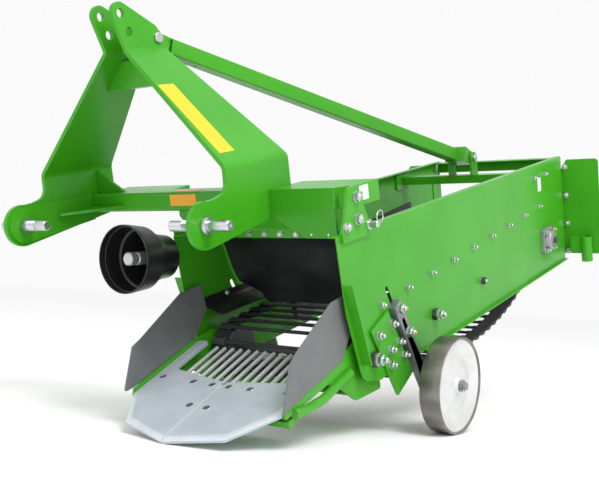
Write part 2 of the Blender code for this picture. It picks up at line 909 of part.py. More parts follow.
def roller(name, axle, shaft_r, roll_r, reach, end_r, width):
    shaft = [(0.0, -reach), (shaft_r, -reach), (shaft_r, reach), (0.0, reach)]
    centre = (BODY_X, *axle)
    rolls = []
    for side in (1, -1):
        a, b = sorted((side * (BELT_MID - width / 2), side * (BELT_MID + width / 2)))
        rolls.append(prism(circle(axle, roll_r, 28), "X", BODY_X + a, BODY_X + b))
    add = [joined(*rolls)]
    nuts = []
    for side in (1, -1):
        a, b = sorted((side * (BODY_HALF + GAP), side * (BODY_HALF + 14.0)))
        nuts.append(prism(circle(axle, end_r, 6), "X", BODY_X + a, BODY_X + b))
    add.append(joined(*nuts))
    return node(name, STEEL, lathe(shaft, centre, (BODY_X + 10.0, *axle), 16), add=add)


BELT_MID = (BELT_X[0] + BELT_X[1]) / 2
roller("front_roller", FRONT_AXLE, 12.0, FRONT_ROLL_R, BODY_HALF + 30.0, 22.0, 56.0)


def run_underside(y):
    fr, dr = FRONT_ROLL_R + 0.5, DRIVE_ROLL_R + 0.5
    t = (y - FRONT_AXLE[0]) / (DRIVE_AXLE[0] - FRONT_AXLE[0])
    return (FRONT_AXLE[1] + fr) * (1 - t) + (DRIVE_AXLE[1] + dr) * t


roller("support_roller_front", MID_AXLES[0], 10.0, run_underside(MID_AXLES[0][0]) - MID_AXLES[0][1] - GAP, BODY_HALF + 26.0, 18.0, 20.0)
roller("support_roller_rear", MID_AXLES[1], 8.0, run_underside(MID_AXLES[1][0]) - MID_AXLES[1][1] - GAP, BODY_HALF + 16.0, 12.0, 20.0)

shaft = [(0.0, 84.0), (12.5, 84.0), (12.5, BODY_X + BODY_HALF + 46.0), (0.0, BODY_X + BODY_HALF + 46.0)]
rolls = [
    prism(circle(DRIVE_AXLE, DRIVE_ROLL_R, 28), "X", *body(side, BELT_MID - 9.0, BELT_MID + 9.0))
    for side in (1, -1)
]
node("drive_shaft", STEEL, lathe(shaft, (0.0, *DRIVE_AXLE), (10.0, *DRIVE_AXLE), 20), add=[joined(*rolls)])

# flanged bearing on the left wall
flange = rounded(
    [(DRIVE_AXLE[0] + a * 47.5, DRIVE_AXLE[1] + b * 47.5) for a, b in ((-1, -1), (1, -1), (1, 1), (-1, 1))],
    12.0,
    3,
)
node(
    "flange_bearing",
    ZINC,
    prism([flange, circle(DRIVE_AXLE, 12.5 + GAP, 20)], "X", wall_out + GAP, wall_out + 14.0),
    add=[prism([circle(DRIVE_AXLE, 36.0, 24), circle(DRIVE_AXLE, 12.5 + GAP, 20)], "X", wall_out + 13.0, wall_out + 34.0)],
)

# --- drive line --------------------------------------------------------------
fall = math.radians(DRIVE_FALL)


def line_point(s):
    return (DRIVE_X, s * math.cos(fall), PTO_Z - s * math.sin(fall))


centre_z = DRIVE_AXLE[1]
gear_out = rounded([(1522.0, centre_z - 58.0), (1638.0, centre_z - 58.0), (1638.0, centre_z + 58.0), (1522.0, centre_z + 58.0)], 16.0, 3)
node(
    "gearbox",
    STEEL,
    prism(gear_out, "X", 6.0, 72.0),
    add=[
        prism(circle(DRIVE_AXLE, 44.0, 24), "X", 70.0, BODY_X - BODY_HALF - GAP),
        cylinder(line_point(1470.0), line_point(1560.0), 33.0, 24),
    ],
    cut=[cylinder(line_point(1469.0), line_point(1500.0), 15.5, 24), prism(circle(DRIVE_AXLE, 12.5 + GAP, 20), "X", 83.5, 90.0)],
)
tube = [
    (15.3, 138.0),
    (26.0, 138.0),
    (26.0, 1469.7),
    (15.3, 1469.7),
    (15.3, 1449.0),
    (23.0, 1449.0),
    (23.0, 178.0),
    (15.3, 178.0),
]
near = BODY_X - BODY_HALF - GAP - DRIVE_X
props = [
    prism([(23.2, -8.0), (near, -8.0), (near, 8.0), (23.2, 8.0)], "Z", s, s + 60.0, frame_on(line_point(0), line_point(100)))
    for s in (640.0, 1240.0)
]
node("line_shaft_tube", GREEN, lathe(tube, line_point(0), line_point(100), 20), add=[joined(*props)])
shaft = [
    (0.0, 12.0),
    (15.0, 12.0),
    (17.5, 15.0),
    (17.5, 34.0),
    (15.0, 36.0),
    (15.0, 42.0),
    (17.5, 44.0),
    (17.5, 88.0),
    (15.0, 90.0),
    (15.0, 1490.0),
    (0.0, 1490.0),
]
pto_shaft = node("pto_shaft", STEEL, lathe(shaft, line_point(0), line_point(100), 24))
on_axis(pto_shaft, line_point(0))
guard = [
    (GUARD_R, -4.0),
    (GUARD_R, 8.0),
    (GUARD_R - 6.0, 62.0),
    (64.0, 110.0),
    (60.0, 150.0),
    (26.3, 150.0),
    (26.3, 147.0),
    (57.0, 147.0),
    (61.0, 109.0),
    (GUARD_R - 9.0, 61.0),
    (GUARD_R - 3.0, 8.0),
    (GUARD_R - 3.0, -4.0),
]
node("pto_guard", BLACK, lathe(guard, line_point(0), line_point(100), 32))

# --- rubber ------------------------------------------------------------------
node(
    "curtain_bar",
    GREEN,
    box(BODY_X - INNER + GAP, BODY_X + INNER - GAP, 273.0, 279.0, -84.0, -62.0),
)
hang = rounded([(279.3, -66.0), (279.3, -86.0), (352.0, -104.0), (382.0, -200.0), (440.0, -310.0)], [0, 10, 50, 120, 0], 5, closed=False)
cloth = [
    (BODY_X + side * x, z)
    for side, spots in (
        (1, [(INNER - 74.0, -330.0), (INNER - 74.0, -280.0), (INNER - 7.0, -244.0), (INNER - 7.0, -50.0)]),
        (-1, [(INNER - 7.0, -50.0), (INNER - 7.0, -244.0), (INNER - 74.0, -280.0), (INNER - 74.0, -330.0)]),
    )
    for x, z in spots
]
node(
    "curtain",
    BLACK,
    prism(band(hang, 6.0), "X", BODY_X - INNER - 5.0, BODY_X + INNER + 5.0),
    keep=prism(cloth, "Y", 200.0, 500.0),
)

for side in (1, -1):
    curve = rounded([(side * (INNER - 4.3), -256.0), (side * (INNER - 6.0), -282.0), (side * (INNER - 70.0), -302.0)], [0, 22, 0], 5, closed=False)
    curve = [(BODY_X + x, z) for x, z in curve]
    node(sided(side, "side_flap"), BLACK, prism(band(curve, side * -4.0), "Y", 242.0, 560.0))

# --- underside guard ---------------------------------------------------------
under = [(216.0, -485.0), (330.0, -495.0)]
node(
    "web_guard_plate",
    GREEN,
    prism(band(under, 6.0), "X", BODY_X - SIDE_X + GAP, BODY_X + SIDE_X - GAP),
)

# --- wheels ------------------------------------------------------------------
bar_top = (393.0, -283.0)
lean_dir = Vector((WHEEL_Y - bar_top[0], WHEEL_Z - bar_top[1])).normalized()
cross_dir = Vector((-lean_dir.y, lean_dir.x))


def bar_at(s, t=0.0):
    return tuple(Vector(bar_top) + lean_dir * s + cross_dir * t)


reach = (Vector((WHEEL_Y, WHEEL_Z)) - Vector(bar_top)).length
for side in (1, -1):
    plate = rounded(
        [(363.0, -294.0), (269.0, -326.0), (378.0, -536.0), (470.0, -498.0)], [3, 3, 3, 3], 2
    )
    node(
        sided(side, "wheel_bracket"),
        GREEN,
        prism(plate, "X", *body(side, BODY_HALF + GAP, BODY_HALF + 8.3)),
    )
    bar = rounded([bar_at(0, -19), bar_at(reach + 22, -19), bar_at(reach + 22, 19), bar_at(0, 19)], [2, 12, 12, 2], 3)
    loops = [bar] + [circle(bar_at(s), 6.5, 12) for s in (58.0, 142.0)]
    face = WHEEL_FACE
    stub = [
        (0.0, BODY_HALF + 2.0),
        (AXLE_R, BODY_HALF + 2.0),
        (AXLE_R, BODY_HALF + 18.0),
        (19.0, BODY_HALF + 18.0),
        (19.0, face - WHEEL_W - 3.0),
        (AXLE_R, face - WHEEL_W - 3.0),
        (AXLE_R, face + 4.0),
        (17.0, face + 4.0),
        (17.0, face + 7.0),
        (AXLE_R, face + 7.0),
        (AXLE_R - 1.5, face + 16.0),
        (0.0, face + 16.0),
    ]
    centre = (BODY_X, WHEEL_Y, WHEEL_Z)
    bolts = [
        prism(circle(bar_at(s), 10.0, 6), "X", *body(side, BODY_HALF + 19.0, BODY_HALF + 32.0))
        for s in (16.0, 100.0)
    ]
    node(
        sided(side, "wheel_arm"),
        STEEL,
        prism(loops, "X", *body(side, BODY_HALF + GAP, BODY_HALF + 20.3)),
        add=[lathe(stub, centre, (BODY_X + side * 10.0, WHEEL_Y, WHEEL_Z), 20), joined(*bolts)],
    )
    inner = face - WHEEL_W
    profile = [
        (AXLE_R + GAP, inner),
        (24.0, inner),
        (24.0, inner + 40.0),
        (60.0, inner + 40.0),
        (96.0, inner + 34.0),
        (122.0, inner + 40.0),
        (128.0, inner + 44.0),
        (128.0, inner + 6.0),
        (131.0, inner + 1.0),
        (WHEEL_R - 1.0, inner + 2.0),
        (WHEEL_R, inner + 5.0),
        (WHEEL_R, face - 5.0),
        (WHEEL_R - 1.0, face - 2.0),
        (131.0, face - 1.0),
        (124.0, face - 6.0),
        (96.0, face - 20.0),
        (60.0, face - 12.0),
        (26.0, face - 12.0),
        (24.0, face),
        (AXLE_R + GAP, face),
    ]
    tip = (BODY_X + side * 10.0, WHEEL_Y, WHEEL_Z)
    wheel = node(sided(side, "wheel"), STEEL, lathe(profile, centre, tip, 40))
    on_axis(wheel, (BODY_X + side * (face - WHEEL_W / 2), WHEEL_Y, WHEEL_Z))

# --- stance ------------------------------------------------------------------
# The nose-down attitude at which the share's tip and the wheels both touch the floor.
tip = share_frame @ Vector((0.0, -249.0, -SHARE_T))
away, drop = WHEEL_Y - tip.y, WHEEL_Z - tip.z
pitch = math.asin(WHEEL_R / math.hypot(away, drop)) - math.atan2(drop, away)
root.matrix_world = Matrix.Rotation(pitch, 4, "X")
bpy.context.view_layer.update()
graph = bpy.context.evaluated_depsgraph_get()
low = Vector((1e9, 1e9, 1e9))
high = -low
for obj in parts.objects:
    if obj.type != "MESH":
        continue
    shape = obj.evaluated_get(graph)
    mesh = shape.to_mesh()
    for vert in mesh.vertices:
        spot = shape.matrix_world @ vert.co
        low = Vector(map(min, low, spot))
        high = Vector(map(max, high, spot))
    shape.to_mesh_clear()
shift = Vector((-(low.x + high.x) / 2, -(low.y + high.y) / 2, -low.z))
root.matrix_world = Matrix.Translation(shift) @ Matrix.Rotation(pitch, 4, "X")
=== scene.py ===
"""Looks of a single-row potato harvester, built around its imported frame.

Outlines are in the machine's own millimetres: X to its left, Y to the rear, Z up, with the
lower linkage pins on y = 0, z = 0.  MACHINE carries them to the stance on the floor.
"""

import json
import math

import bmesh
import bpy
import numpy as np
from mathutils import Matrix, Vector


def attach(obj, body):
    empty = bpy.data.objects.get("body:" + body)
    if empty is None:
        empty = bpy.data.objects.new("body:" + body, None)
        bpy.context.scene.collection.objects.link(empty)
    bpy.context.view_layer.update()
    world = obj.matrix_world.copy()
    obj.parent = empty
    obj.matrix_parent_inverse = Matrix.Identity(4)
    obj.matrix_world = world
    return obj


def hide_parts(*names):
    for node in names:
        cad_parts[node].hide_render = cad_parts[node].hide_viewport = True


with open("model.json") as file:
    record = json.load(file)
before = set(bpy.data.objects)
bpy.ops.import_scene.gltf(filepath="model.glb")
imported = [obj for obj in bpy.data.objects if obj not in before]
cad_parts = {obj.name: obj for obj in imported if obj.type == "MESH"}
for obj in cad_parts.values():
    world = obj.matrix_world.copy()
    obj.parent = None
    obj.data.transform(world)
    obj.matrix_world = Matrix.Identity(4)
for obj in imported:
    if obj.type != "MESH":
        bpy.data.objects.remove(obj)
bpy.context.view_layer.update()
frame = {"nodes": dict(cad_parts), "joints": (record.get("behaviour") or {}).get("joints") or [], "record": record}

MM = 0.001
PLACES = {m["name"]: Vector(m["pos_m"]) for m in frame["record"]["mounts"]}
SPIN = {j["name"]: j for j in frame["joints"]}
DRIVE_FALL = math.radians(9.4)  # the drive line runs down to the rear by this much

left_end, right_end = PLACES["lower_pin_left_end"], PLACES["lower_pin_right_end"]
spin_axis = SPIN["pto_shaft_spin"]["axis"]
PITCH = math.atan2(spin_axis[2], spin_axis[1]) + DRIVE_FALL
STANCE = Matrix.Rotation(PITCH, 4, "X")
MACHINE = Matrix.Translation((left_end + right_end) / 2) @ STANCE @ Matrix.Scale(MM, 4)

# --- sizes shared by several pieces ------------------------------------------
PIN_X = 341.5  # inner face of a mast plate at its foot
PLATE = 12.0
EAR_X = 31.5
BODY_X = 353.0
BODY_HALF = 267.0
WALL = 3.0
WALL_TOP = -58.0
WALL_FRONT, WALL_REAR = 160.0, 1794.0
WALL_OUT = BODY_X + BODY_HALF
FRONT_AXLE = (281.0, -403.0)
MID_AXLES = ((638.0, -379.0), (984.0, -362.0))
DRIVE_AXLE = (1580.0, -347.0)
WHEEL = (523.0, -545.0)
ARM_TOP = (393.0, -283.0)
WHEEL_R, WHEEL_WIDTH, WHEEL_FACE = 135.0, 62.0, 392.0
SHARE_SLOPE = math.radians(13.2)
SHARE_SEAM = (-3.0, -397.0)
SHARE_T = 12.0
CHEEK_X, CHEEK_T = 246.6, 4.0
DRIVE_X, DRIVE_Z = 52.0, -90.0
GUARD_R = 92.0
BELT_IN, BELT_OUT, BELT_T = 174.0, 220.0, 6.0
WEB_RODS = 62
PROUD = 0.4  # how far a laid-on piece stands off what it lies on
STICKER = 0.4
SIDES = ((1, "left"), (-1, "right"))
CURVE_WELD = 0.001  # points nearer than this many millimetres are one point
SOLID_WELD = 1e-5  # the same for a frame solid, in metres
SMOOTH_BELOW = 32.0  # degrees between two faces that still shade as one
BEVEL_ABOVE = math.radians(38)
FLAT_WITHIN = math.radians(1.0)


# --- shader trees ------------------------------------------------------------
class Wire:
    """A socket in a material's tree, so that shader maths reads as Python."""

    def __init__(self, look, socket):
        self.look, self.socket = look, socket

    def _math(self, operation, first, second):
        made = self.look.node("Math", {"operation": operation}, {0: first, 1: second})
        return self.look.out(made)

    def __add__(self, other):
        return self._math("ADD", self, other)

    def __mul__(self, other):
        return self._math("MULTIPLY", self, other)

    __radd__, __rmul__ = __add__, __mul__


class Look:
    """One material: a Principled shader and what feeds it."""

    def __init__(self, name, colour, roughness, metallic=0.0, **constants):
        self.material = bpy.data.materials.new(name)
        self.material.use_nodes = True
        self.tree = self.material.node_tree
        self.shader = self.tree.nodes["Principled BSDF"]
        self.set("Base Color", (*colour, 1.0))
        self.set("Roughness", roughness)
        self.set("Metallic", metallic)
        for socket, value in constants.items():
            self.set(socket.replace("_", " "), value)

    def set(self, socket, value):
        self._feed(self.shader.inputs[socket], value)

    def _feed(self, socket, value):
        if isinstance(value, Wire):
            self.tree.links.new(value.socket, socket)
        else:
            socket.default_value = value

    def node(self, kind, settings=None, values=None):
        made = self.tree.nodes.new("ShaderNode" + kind)
        for key, value in (settings or {}).items():
            setattr(made, key, value)
        for key, value in (values or {}).items():
            self._feed(made.inputs[key], value)
        return made

    def out(self, made, socket=0):
        return Wire(self, made.outputs[socket])

    def place(self, scale=(1.0, 1.0, 1.0)):
        """Object coordinates, drawn out or squeezed along each axis."""
        here = self.out(self.node("TexCoord"), "Object")
        return self.out(self.node("Mapping", None, {"Vector": here, "Scale": scale}))

    def noise(self, size, detail=3.0, where=None):
        """Cloudy noise whose features are about this many metres across."""
        values = {"Vector": where or self.place(), "Scale": 1.0 / size, "Detail": detail}
        return self.out(self.node("TexNoise", None, values), "Fac")

    def band(self, value, low, high):
        """The value eased from 0 at low to 1 at high."""
        settings = {"interpolation_type": "SMOOTHSTEP"}
        values = {"Value": value, 1: low, 2: high, 3: 0.0, 4: 1.0}
        return self.out(self.node("MapRange", settings, values))

    def mix(self, share, first, second):
        made = self.node("Mix", {"data_type": "RGBA"})
        self._feed(made.inputs[0], share)
        for index, value in ((6, first), (7, second)):
            self._feed(made.inputs[index], value if isinstance(value, Wire) else (*value, 1.0))
        return Wire(self, made.outputs[2])

    def bump(self, height, distance, strength=1.0):
        values = {"Height": height, "Distance": distance, "Strength": strength}
        self.set("Normal", self.out(self.node("Bump", None, values)))


def paint(name, colour, deep):
    """Powder coat: an even gloss with a faint orange peel, and field dust low down."""
    look = Look(name, colour, 0.3, 0.0, Coat_Roughness=0.16, Specular_IOR_Level=0.3)
    cloud = look.band(look.noise(0.22), 0.3, 0.7)
    tone = look.mix(cloud, deep, colour)
    height = look.out(look.node("SeparateXYZ", None, {0: look.place()}), "Z")
    low = look.band(height, 0.2, 0.02)
    dusty = look.band(look.noise(0.03, 5.0), 0.45, 0.75) * low * 0.35
    look.set("Base Color", look.mix(dusty, tone, (0.33, 0.3, 0.24)))
    look.set("Roughness", look.noise(0.05) * 0.1 + 0.27 + dusty * 0.5)
    look.set("Coat Weight", dusty * -0.12 + 0.12)
    look.bump(look.noise(0.0028, 2.0), 0.00006, 0.6)
    return look.material


def bare_steel(name, colour, worn, roughness, metallic=0.85, grain=(1.0, 1.0, 1.0), size=0.006):
    """Rolled or ground steel, streaked along its grain."""
    look = Look(name, colour, roughness, metallic)
    streak = look.noise(size, 4.0, look.place(grain))
    blotch = look.band(look.noise(0.07, 4.0), 0.35, 0.7)
    look.set("Base Color", look.mix(blotch * 0.6 + streak * 0.3, colour, worn))
    look.set("Roughness", streak * 0.22 + (roughness - 0.08))
    look.bump(streak, 0.00005, 0.5)
    return look.material


def rubber(name, colour, roughness):
    """Sheet rubber: nearly black, lighter in cloudy patches that are partly dusty bloom and partly painted sheen,
    with a fine cloth mark.
    """
    look = Look(name, colour, roughness, 0.0, Specular_IOR_Level=0.45)
    # Painted sheen: lighter cloudy patches in the colour stand partly for the rubber's sheen and partly for a
    # dusty bloom.
    bloom_and_sheen = look.band(look.noise(0.12, 5.0), 0.42, 0.8)
    look.set("Base Color", look.mix(bloom_and_sheen * 0.5, colour, (0.05, 0.052, 0.056)))
    look.set("Roughness", look.noise(0.02) * 0.2 + (roughness - 0.1))
    look.bump(look.noise(0.0016, 2.0), 0.00008, 0.5)
    return look.material


def plain(name, colour, roughness, metallic=0.0, grain=0.004):
    """A small plated, printed or moulded surface with a faint mottle."""
    look = Look(name, colour, roughness, metallic)
    mottle = look.noise(grain, 3.0)
    darker = tuple(c * 0.8 for c in colour)
    look.set("Base Color", look.mix(mottle, darker, colour))
    look.set("Roughness", mottle * 0.16 + (roughness - 0.08))
    look.bump(mottle, 0.00003, 0.4)
    return look.material


def worn_tread():
    """The wheel's rim: brown-grey steel, rubbed bright in bands round it."""
    look = Look("worn_tread", (0.13, 0.12, 0.11), 0.4, 0.75)
    rub = look.band(look.noise(0.05, 6.0, look.place((0.25, 1.0, 1.0))), 0.35, 0.75)
    spots = look.band(look.noise(0.007, 4.0), 0.5, 0.75)
    look.set("Base Color", look.mix(rub, (0.17, 0.15, 0.14), (0.32, 0.3, 0.28)))
    look.set("Roughness", rub * 0.12 + spots * 0.25 + 0.3)
    look.bump(spots, 0.0002, 0.5)
    return look.material


GREEN = paint("green_coat", (0.05, 0.345, 0.01), (0.042, 0.31, 0.008))
SHARE = bare_steel("share_steel", (0.5, 0.56, 0.61), (0.42, 0.47, 0.52), 0.5, 0.35, size=0.004)
GROUND = bare_steel("ground_edge", (0.72, 0.77, 0.82), (0.6, 0.65, 0.7), 0.38, 0.5)
# Painted shade: the share's side plates take a much darker copy of the share steel, standing in for the shade on
# their upright faces.
SHADED_SIDE_STEEL = bare_steel(
    "side_steel_shaded", (0.175, 0.185, 0.19), (0.145, 0.15, 0.15), 0.5, 0.25, size=0.003
)
ROD_STEEL = bare_steel("rod_steel", (0.6, 0.62, 0.64), (0.48, 0.49, 0.5), 0.36, 0.6)
# Dark steel for the bars, lugs and rollers; the same material is also painted shade in the pins' drilled holes and
# the share screws' sockets.
DARK_STEEL_AND_SHADE = bare_steel("bar_steel_and_shade", (0.13, 0.13, 0.14), (0.08, 0.08, 0.09), 0.42, 0.7)
ARM_STEEL = bare_steel("arm_steel", (0.3, 0.31, 0.33), (0.22, 0.22, 0.24), 0.4, 0.75)
CASTING = bare_steel("bearing_casting", (0.4, 0.41, 0.42), (0.28, 0.29, 0.3), 0.45, 0.7)
DISC = bare_steel("wheel_disc", (0.74, 0.74, 0.73), (0.6, 0.6, 0.59), 0.34, 0.55, size=0.01)
TREAD = worn_tread()
ZINC = plain("zinc_plate", (0.66, 0.68, 0.7), 0.3, 1.0)
GOLD = plain("gold_plate", (0.7, 0.46, 0.16), 0.32, 1.0)
SHEET_RUBBER = rubber("sheet_rubber", (0.008, 0.008, 0.009), 0.5)
WEB_RUBBER = rubber("web_rubber", (0.014, 0.014, 0.015), 0.55)
PLASTIC = plain("guard_plastic", (0.012, 0.012, 0.013), 0.33, 0.0, 0.003)
YELLOW = plain("yellow_label", (0.95, 0.6, 0.01), 0.4)
ORANGE = plain("orange_label", (0.95, 0.42, 0.01), 0.4)
WHITE = plain("white_label", (0.85, 0.86, 0.86), 0.4)


# --- outlines ----------------------------------------------------------------
def circle(centre, radius, count):
    """Points round a circle; six of them make a hexagon."""
    turns = [math.tau * i / count for i in range(count)]
    return [(centre[0] + radius * math.cos(t), centre[1] + radius * math.sin(t)) for t in turns]


def rectangle(left, right, low, high):
    """The four corners, turning to the left."""
    return [(left, low), (right, low), (right, high), (left, high)]


def arc(centre, radius, a, b, count):
    """Points along an arc from angle a to angle b, in degrees."""
    turns = [math.radians(a + (b - a) * i / count) for i in range(count + 1)]
    return [(centre[0] + radius * math.cos(t), centre[1] + radius * math.sin(t)) for t in turns]


def rounded(points, radius, steps=5, closed=True):
    """The outline with its corners turned into arcs of this radius."""
    out = []
    for i, point in enumerate(points):
        if not closed and i in (0, len(points) - 1):
            out.append(tuple(point))
            continue
        here = Vector(point)
        back = Vector(points[i - 1]) - here
        ahead = Vector(points[(i + 1) % len(points)]) - here
        half = back.angle(ahead) / 2
        reach = min(radius / math.tan(half), 0.49 * back.length, 0.49 * ahead.length)
        start, end = here + back.normalized() * reach, here + ahead.normalized() * reach
        for k in range(steps + 1):
            t = k / steps
            out.append(tuple(start * (1 - t) ** 2 + here * 2 * t * (1 - t) + end * t * t))
    return out


# --- meshes in machine millimetres -------------------------------------------
AXES = {"X": Matrix(((0, 0, 1), (1, 0, 0), (0, 1, 0))), "Z": Matrix.Identity(3)}
AXES["Y"] = Matrix(((1, 0, 0), (0, 0, 1), (0, 1, 0)))


def shape_of(curve):
    """What Blender makes of a curve, with its meeting points welded."""
    holder = bpy.data.objects.new(curve.name, curve)
    bpy.context.scene.collection.objects.link(holder)
    graph = bpy.context.evaluated_depsgraph_get()
    mesh = bpy.data.meshes.new_from_object(holder.evaluated_get(graph))
    bpy.data.objects.remove(holder)
    bm = bmesh.new()
    bm.from_mesh(mesh)
    bmesh.ops.remove_doubles(bm, verts=bm.verts, dist=CURVE_WELD)
    return bm


def sheet_of(outlines, axis, a, b, matrix=None):
    """A flat outline with its holes, filled as a 2D curve and extruded from a to b."""
    curve = bpy.data.curves.new("outline", "CURVE")
    curve.dimensions = "2D"
    curve.fill_mode = "BOTH"
    curve.extrude = abs(b - a) / 2
    for outline in outlines:
        spline = curve.splines.new("POLY")
        spline.points.add(len(outline) - 1)
        for point, (u, v) in zip(spline.points, outline):
            point.co = (u, v, 0.0, 1.0)
        spline.use_cyclic_u = True
    bm = shape_of(curve)
    bm.transform(AXES[axis].to_4x4() @ Matrix.Translation((0, 0, (a + b) / 2)))
    if matrix is not None:
        bm.transform(matrix)
    bmesh.ops.recalc_face_normals(bm, faces=bm.faces)
    return bm


def block(x, y, z, matrix=None):
    """A box between three pairs of values."""
    bm = bmesh.new()
    bmesh.ops.create_cube(bm, size=1.0)
    size = Vector((abs(x[1] - x[0]), abs(y[1] - y[0]), abs(z[1] - z[0])))
    middle = Vector((sum(x) / 2, sum(y) / 2, sum(z) / 2))
    bm.transform(Matrix.Translation(middle) @ Matrix.Diagonal((*size, 1.0)))
    if matrix is not None:
        bm.transform(matrix)
    return bm


def along(start, end, side=None):
    """A frame at start whose Z points to end."""
    start, end = Vector(start), Vector(end)
    w = (end - start).normalized()
    side = Vector(side or ((0, 0, 1) if abs(w.x) > 0.7 else (1, 0, 0)))
    u = (side - w * side.dot(w)).normalized()
    rotation = Matrix((u, w.cross(u), w)).transposed()
    return Matrix.Translation(start) @ rotation.to_4x4()


def turned(profile, start, end, count=48, closed=True):
    """A (radius, height) profile spun about the line from start to end."""
    bm = bmesh.new()
    spots = [bm.verts.new((r, 0.0, h)) for r, h in profile]
    pairs = list(zip(spots, spots[1:])) + ([(spots[-1], spots[0])] if closed else [])
    edges = [bm.edges.new(pair) for pair in pairs]
    bmesh.ops.spin(
        bm, geom=spots + edges, cent=(0, 0, 0), axis=(0, 0, 1), angle=math.tau, steps=count,
        use_merge=True,
    )
    bmesh.ops.remove_doubles(bm, verts=bm.verts, dist=CURVE_WELD)
    bmesh.ops.dissolve_degenerate(bm, edges=bm.edges, dist=CURVE_WELD / 2)
    bm.transform(along(start, end))
    bmesh.ops.recalc_face_normals(bm, faces=bm.faces)
    return bm


def tube(points, radius, sides=12, closed=False):
    """A round bar along a line of points, as a curve with a bevel."""
    curve = bpy.data.curves.new("bar", "CURVE")
    curve.dimensions = "3D"
    curve.bevel_depth = radius
    curve.bevel_resolution = max(0, sides // 4 - 1)
    curve.use_fill_caps = True
    spline = curve.splines.new("POLY")
    spline.points.add(len(points) - 1)
    for point, spot in zip(spline.points, points):
        point.co = (*spot, 1.0)
    spline.use_cyclic_u = closed
    bm = shape_of(curve)
    bmesh.ops.recalc_face_normals(bm, faces=bm.faces)
    return bm


def merged(*shapes):
    """Several shapes as one."""
    whole = bmesh.new()
    for bm in shapes:
        mesh = bpy.data.meshes.new("shape")
        bm.to_mesh(mesh)
        bm.free()
        whole.from_mesh(mesh)
        bpy.data.meshes.remove(mesh)
    return whole


# --- pieces ------------------------------------------------------------------
def piece(name, bm, material, body="machine", bevel=0.0, stands_for=(), local=True,
          angle=SMOOTH_BELOW):
    """A finished piece: placed, edges rounded, shaded, painted, and riding on its body."""
    if local:
        bm.transform(MACHINE)
    mesh = bpy.data.meshes.new(name)
    bm.to_mesh(mesh)
    bm.free()
    obj = bpy.data.objects.new(name, mesh)
    bpy.context.scene.collection.objects.link(obj)
    mesh.materials.append(material)
    mesh.shade_smooth()
    mesh.set_sharp_from_angle(angle=math.radians(angle))
    if bevel:
        edge = obj.modifiers.new("rounded_edges", "BEVEL")
        edge.width = bevel * MM
        edge.segments = 2
        edge.limit_method = "ANGLE"
        edge.angle_limit = BEVEL_ABOVE
        edge.use_clamp_overlap = True
        flats = obj.modifiers.new("level_flats", "WEIGHTED_NORMAL")
        flats.keep_sharp = True
        graph = bpy.context.evaluated_depsgraph_get()
        made = bpy.data.meshes.new_from_object(obj.evaluated_get(graph))
        obj.modifiers.clear()
        obj.data = made
        made.name = name
    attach(obj, body)
    if stands_for:
        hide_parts(*stands_for)
    return obj


def refined(node, material, bevel, name=None, angle=SMOOTH_BELOW):
    """A merged copy of a frame solid, with its flats made whole and its edges rounded."""
    bm = bmesh.new()
    bm.from_mesh(frame["nodes"][node].data)
    bmesh.ops.remove_doubles(bm, verts=bm.verts, dist=SOLID_WELD)
    bmesh.ops.dissolve_limit(bm, angle_limit=FLAT_WITHIN, verts=bm.verts, edges=bm.edges)
    name = name or node + "_shell"
    return piece(name, bm, material, bevel=bevel, stands_for=[node], local=False, angle=angle)


# --- fasteners by Geometry Nodes ---------------------------------------------
class Grid:
    """A Geometry Nodes tree under construction."""

    def __init__(self, name):
        self.tree = bpy.data.node_groups.new(name, "GeometryNodeTree")
        for way in ("INPUT", "OUTPUT"):
            self.tree.interface.new_socket("Geometry", in_out=way, socket_type="NodeSocketGeometry")
        self.start = self.tree.nodes.new("NodeGroupInput")
        self.end = self.tree.nodes.new("NodeGroupOutput")
        self.keys = {}

    def input(self, name, kind="NodeSocketFloat"):
        made = self.tree.interface.new_socket(name, in_out="INPUT", socket_type=kind)
        self.keys[name] = made.identifier
        return self.start.outputs[name]

    def node(self, kind, settings=None, values=None):
        made = self.tree.nodes.new(kind)
        for key, value in (settings or {}).items():
            setattr(made, key, value)
        for key, value in (values or {}).items():
            socket = made.inputs[key]
            if isinstance(value, bpy.types.NodeSocket):
                self.tree.links.new(value, socket)
            else:
                socket.default_value = value
        return made

    def times(self, value, share):
        made = self.node("ShaderNodeMath", {"operation": "MULTIPLY"}, {0: value, 1: share})
        return made.outputs[0]

    def plus(self, first, second):
        return self.node("ShaderNodeMath", {"operation": "ADD"}, {0: first, 1: second}).outputs[0]

    def drum(self, sides, radius, depth, base, top=None):
        """A cylinder or cone standing on this base height."""
        values = {"Vertices": sides, "Radius Bottom": radius, "Depth": depth}
        values["Radius Top"] = top or radius
        made = self.node("GeometryNodeMeshCone", None, values)
        lift = self.node("ShaderNodeCombineXYZ", None, {"Z": base}).outputs[0]
        values = {"Geometry": made.outputs["Mesh"], "Translation": lift}
        return self.node("GeometryNodeTransform", None, values).outputs[0]

    def join(self, *shapes):
        made = self.node("GeometryNodeJoinGeometry")
        for shape in reversed(shapes):
            self.tree.links.new(shape, made.inputs[0])
        return made.outputs[0]

    def on_points(self, shape, material):
        """Ends the tree: the shape stands on each point, its Z along the point's facing."""
        named = "GeometryNodeInputNamedAttribute"
        facing = self.node(named, {"data_type": "FLOAT_VECTOR"}, {"Name": "facing"}).outputs[0]
        turner = "FunctionNodeAlignRotationToVector"
        turn = self.node(turner, {"axis": "Z"}, {"Vector": facing}).outputs[0]
        values = {"Points": self.start.outputs[0], "Instance": shape, "Rotation": turn}
        placed = self.node("GeometryNodeInstanceOnPoints", None, values).outputs[0]
        real = self.node("GeometryNodeRealizeInstances", None, {0: placed}).outputs[0]
        values = {"Geometry": real, "Material": material}
        done = self.node("GeometryNodeSetMaterial", None, values)
        self.tree.links.new(done.outputs[0], self.end.inputs[0])


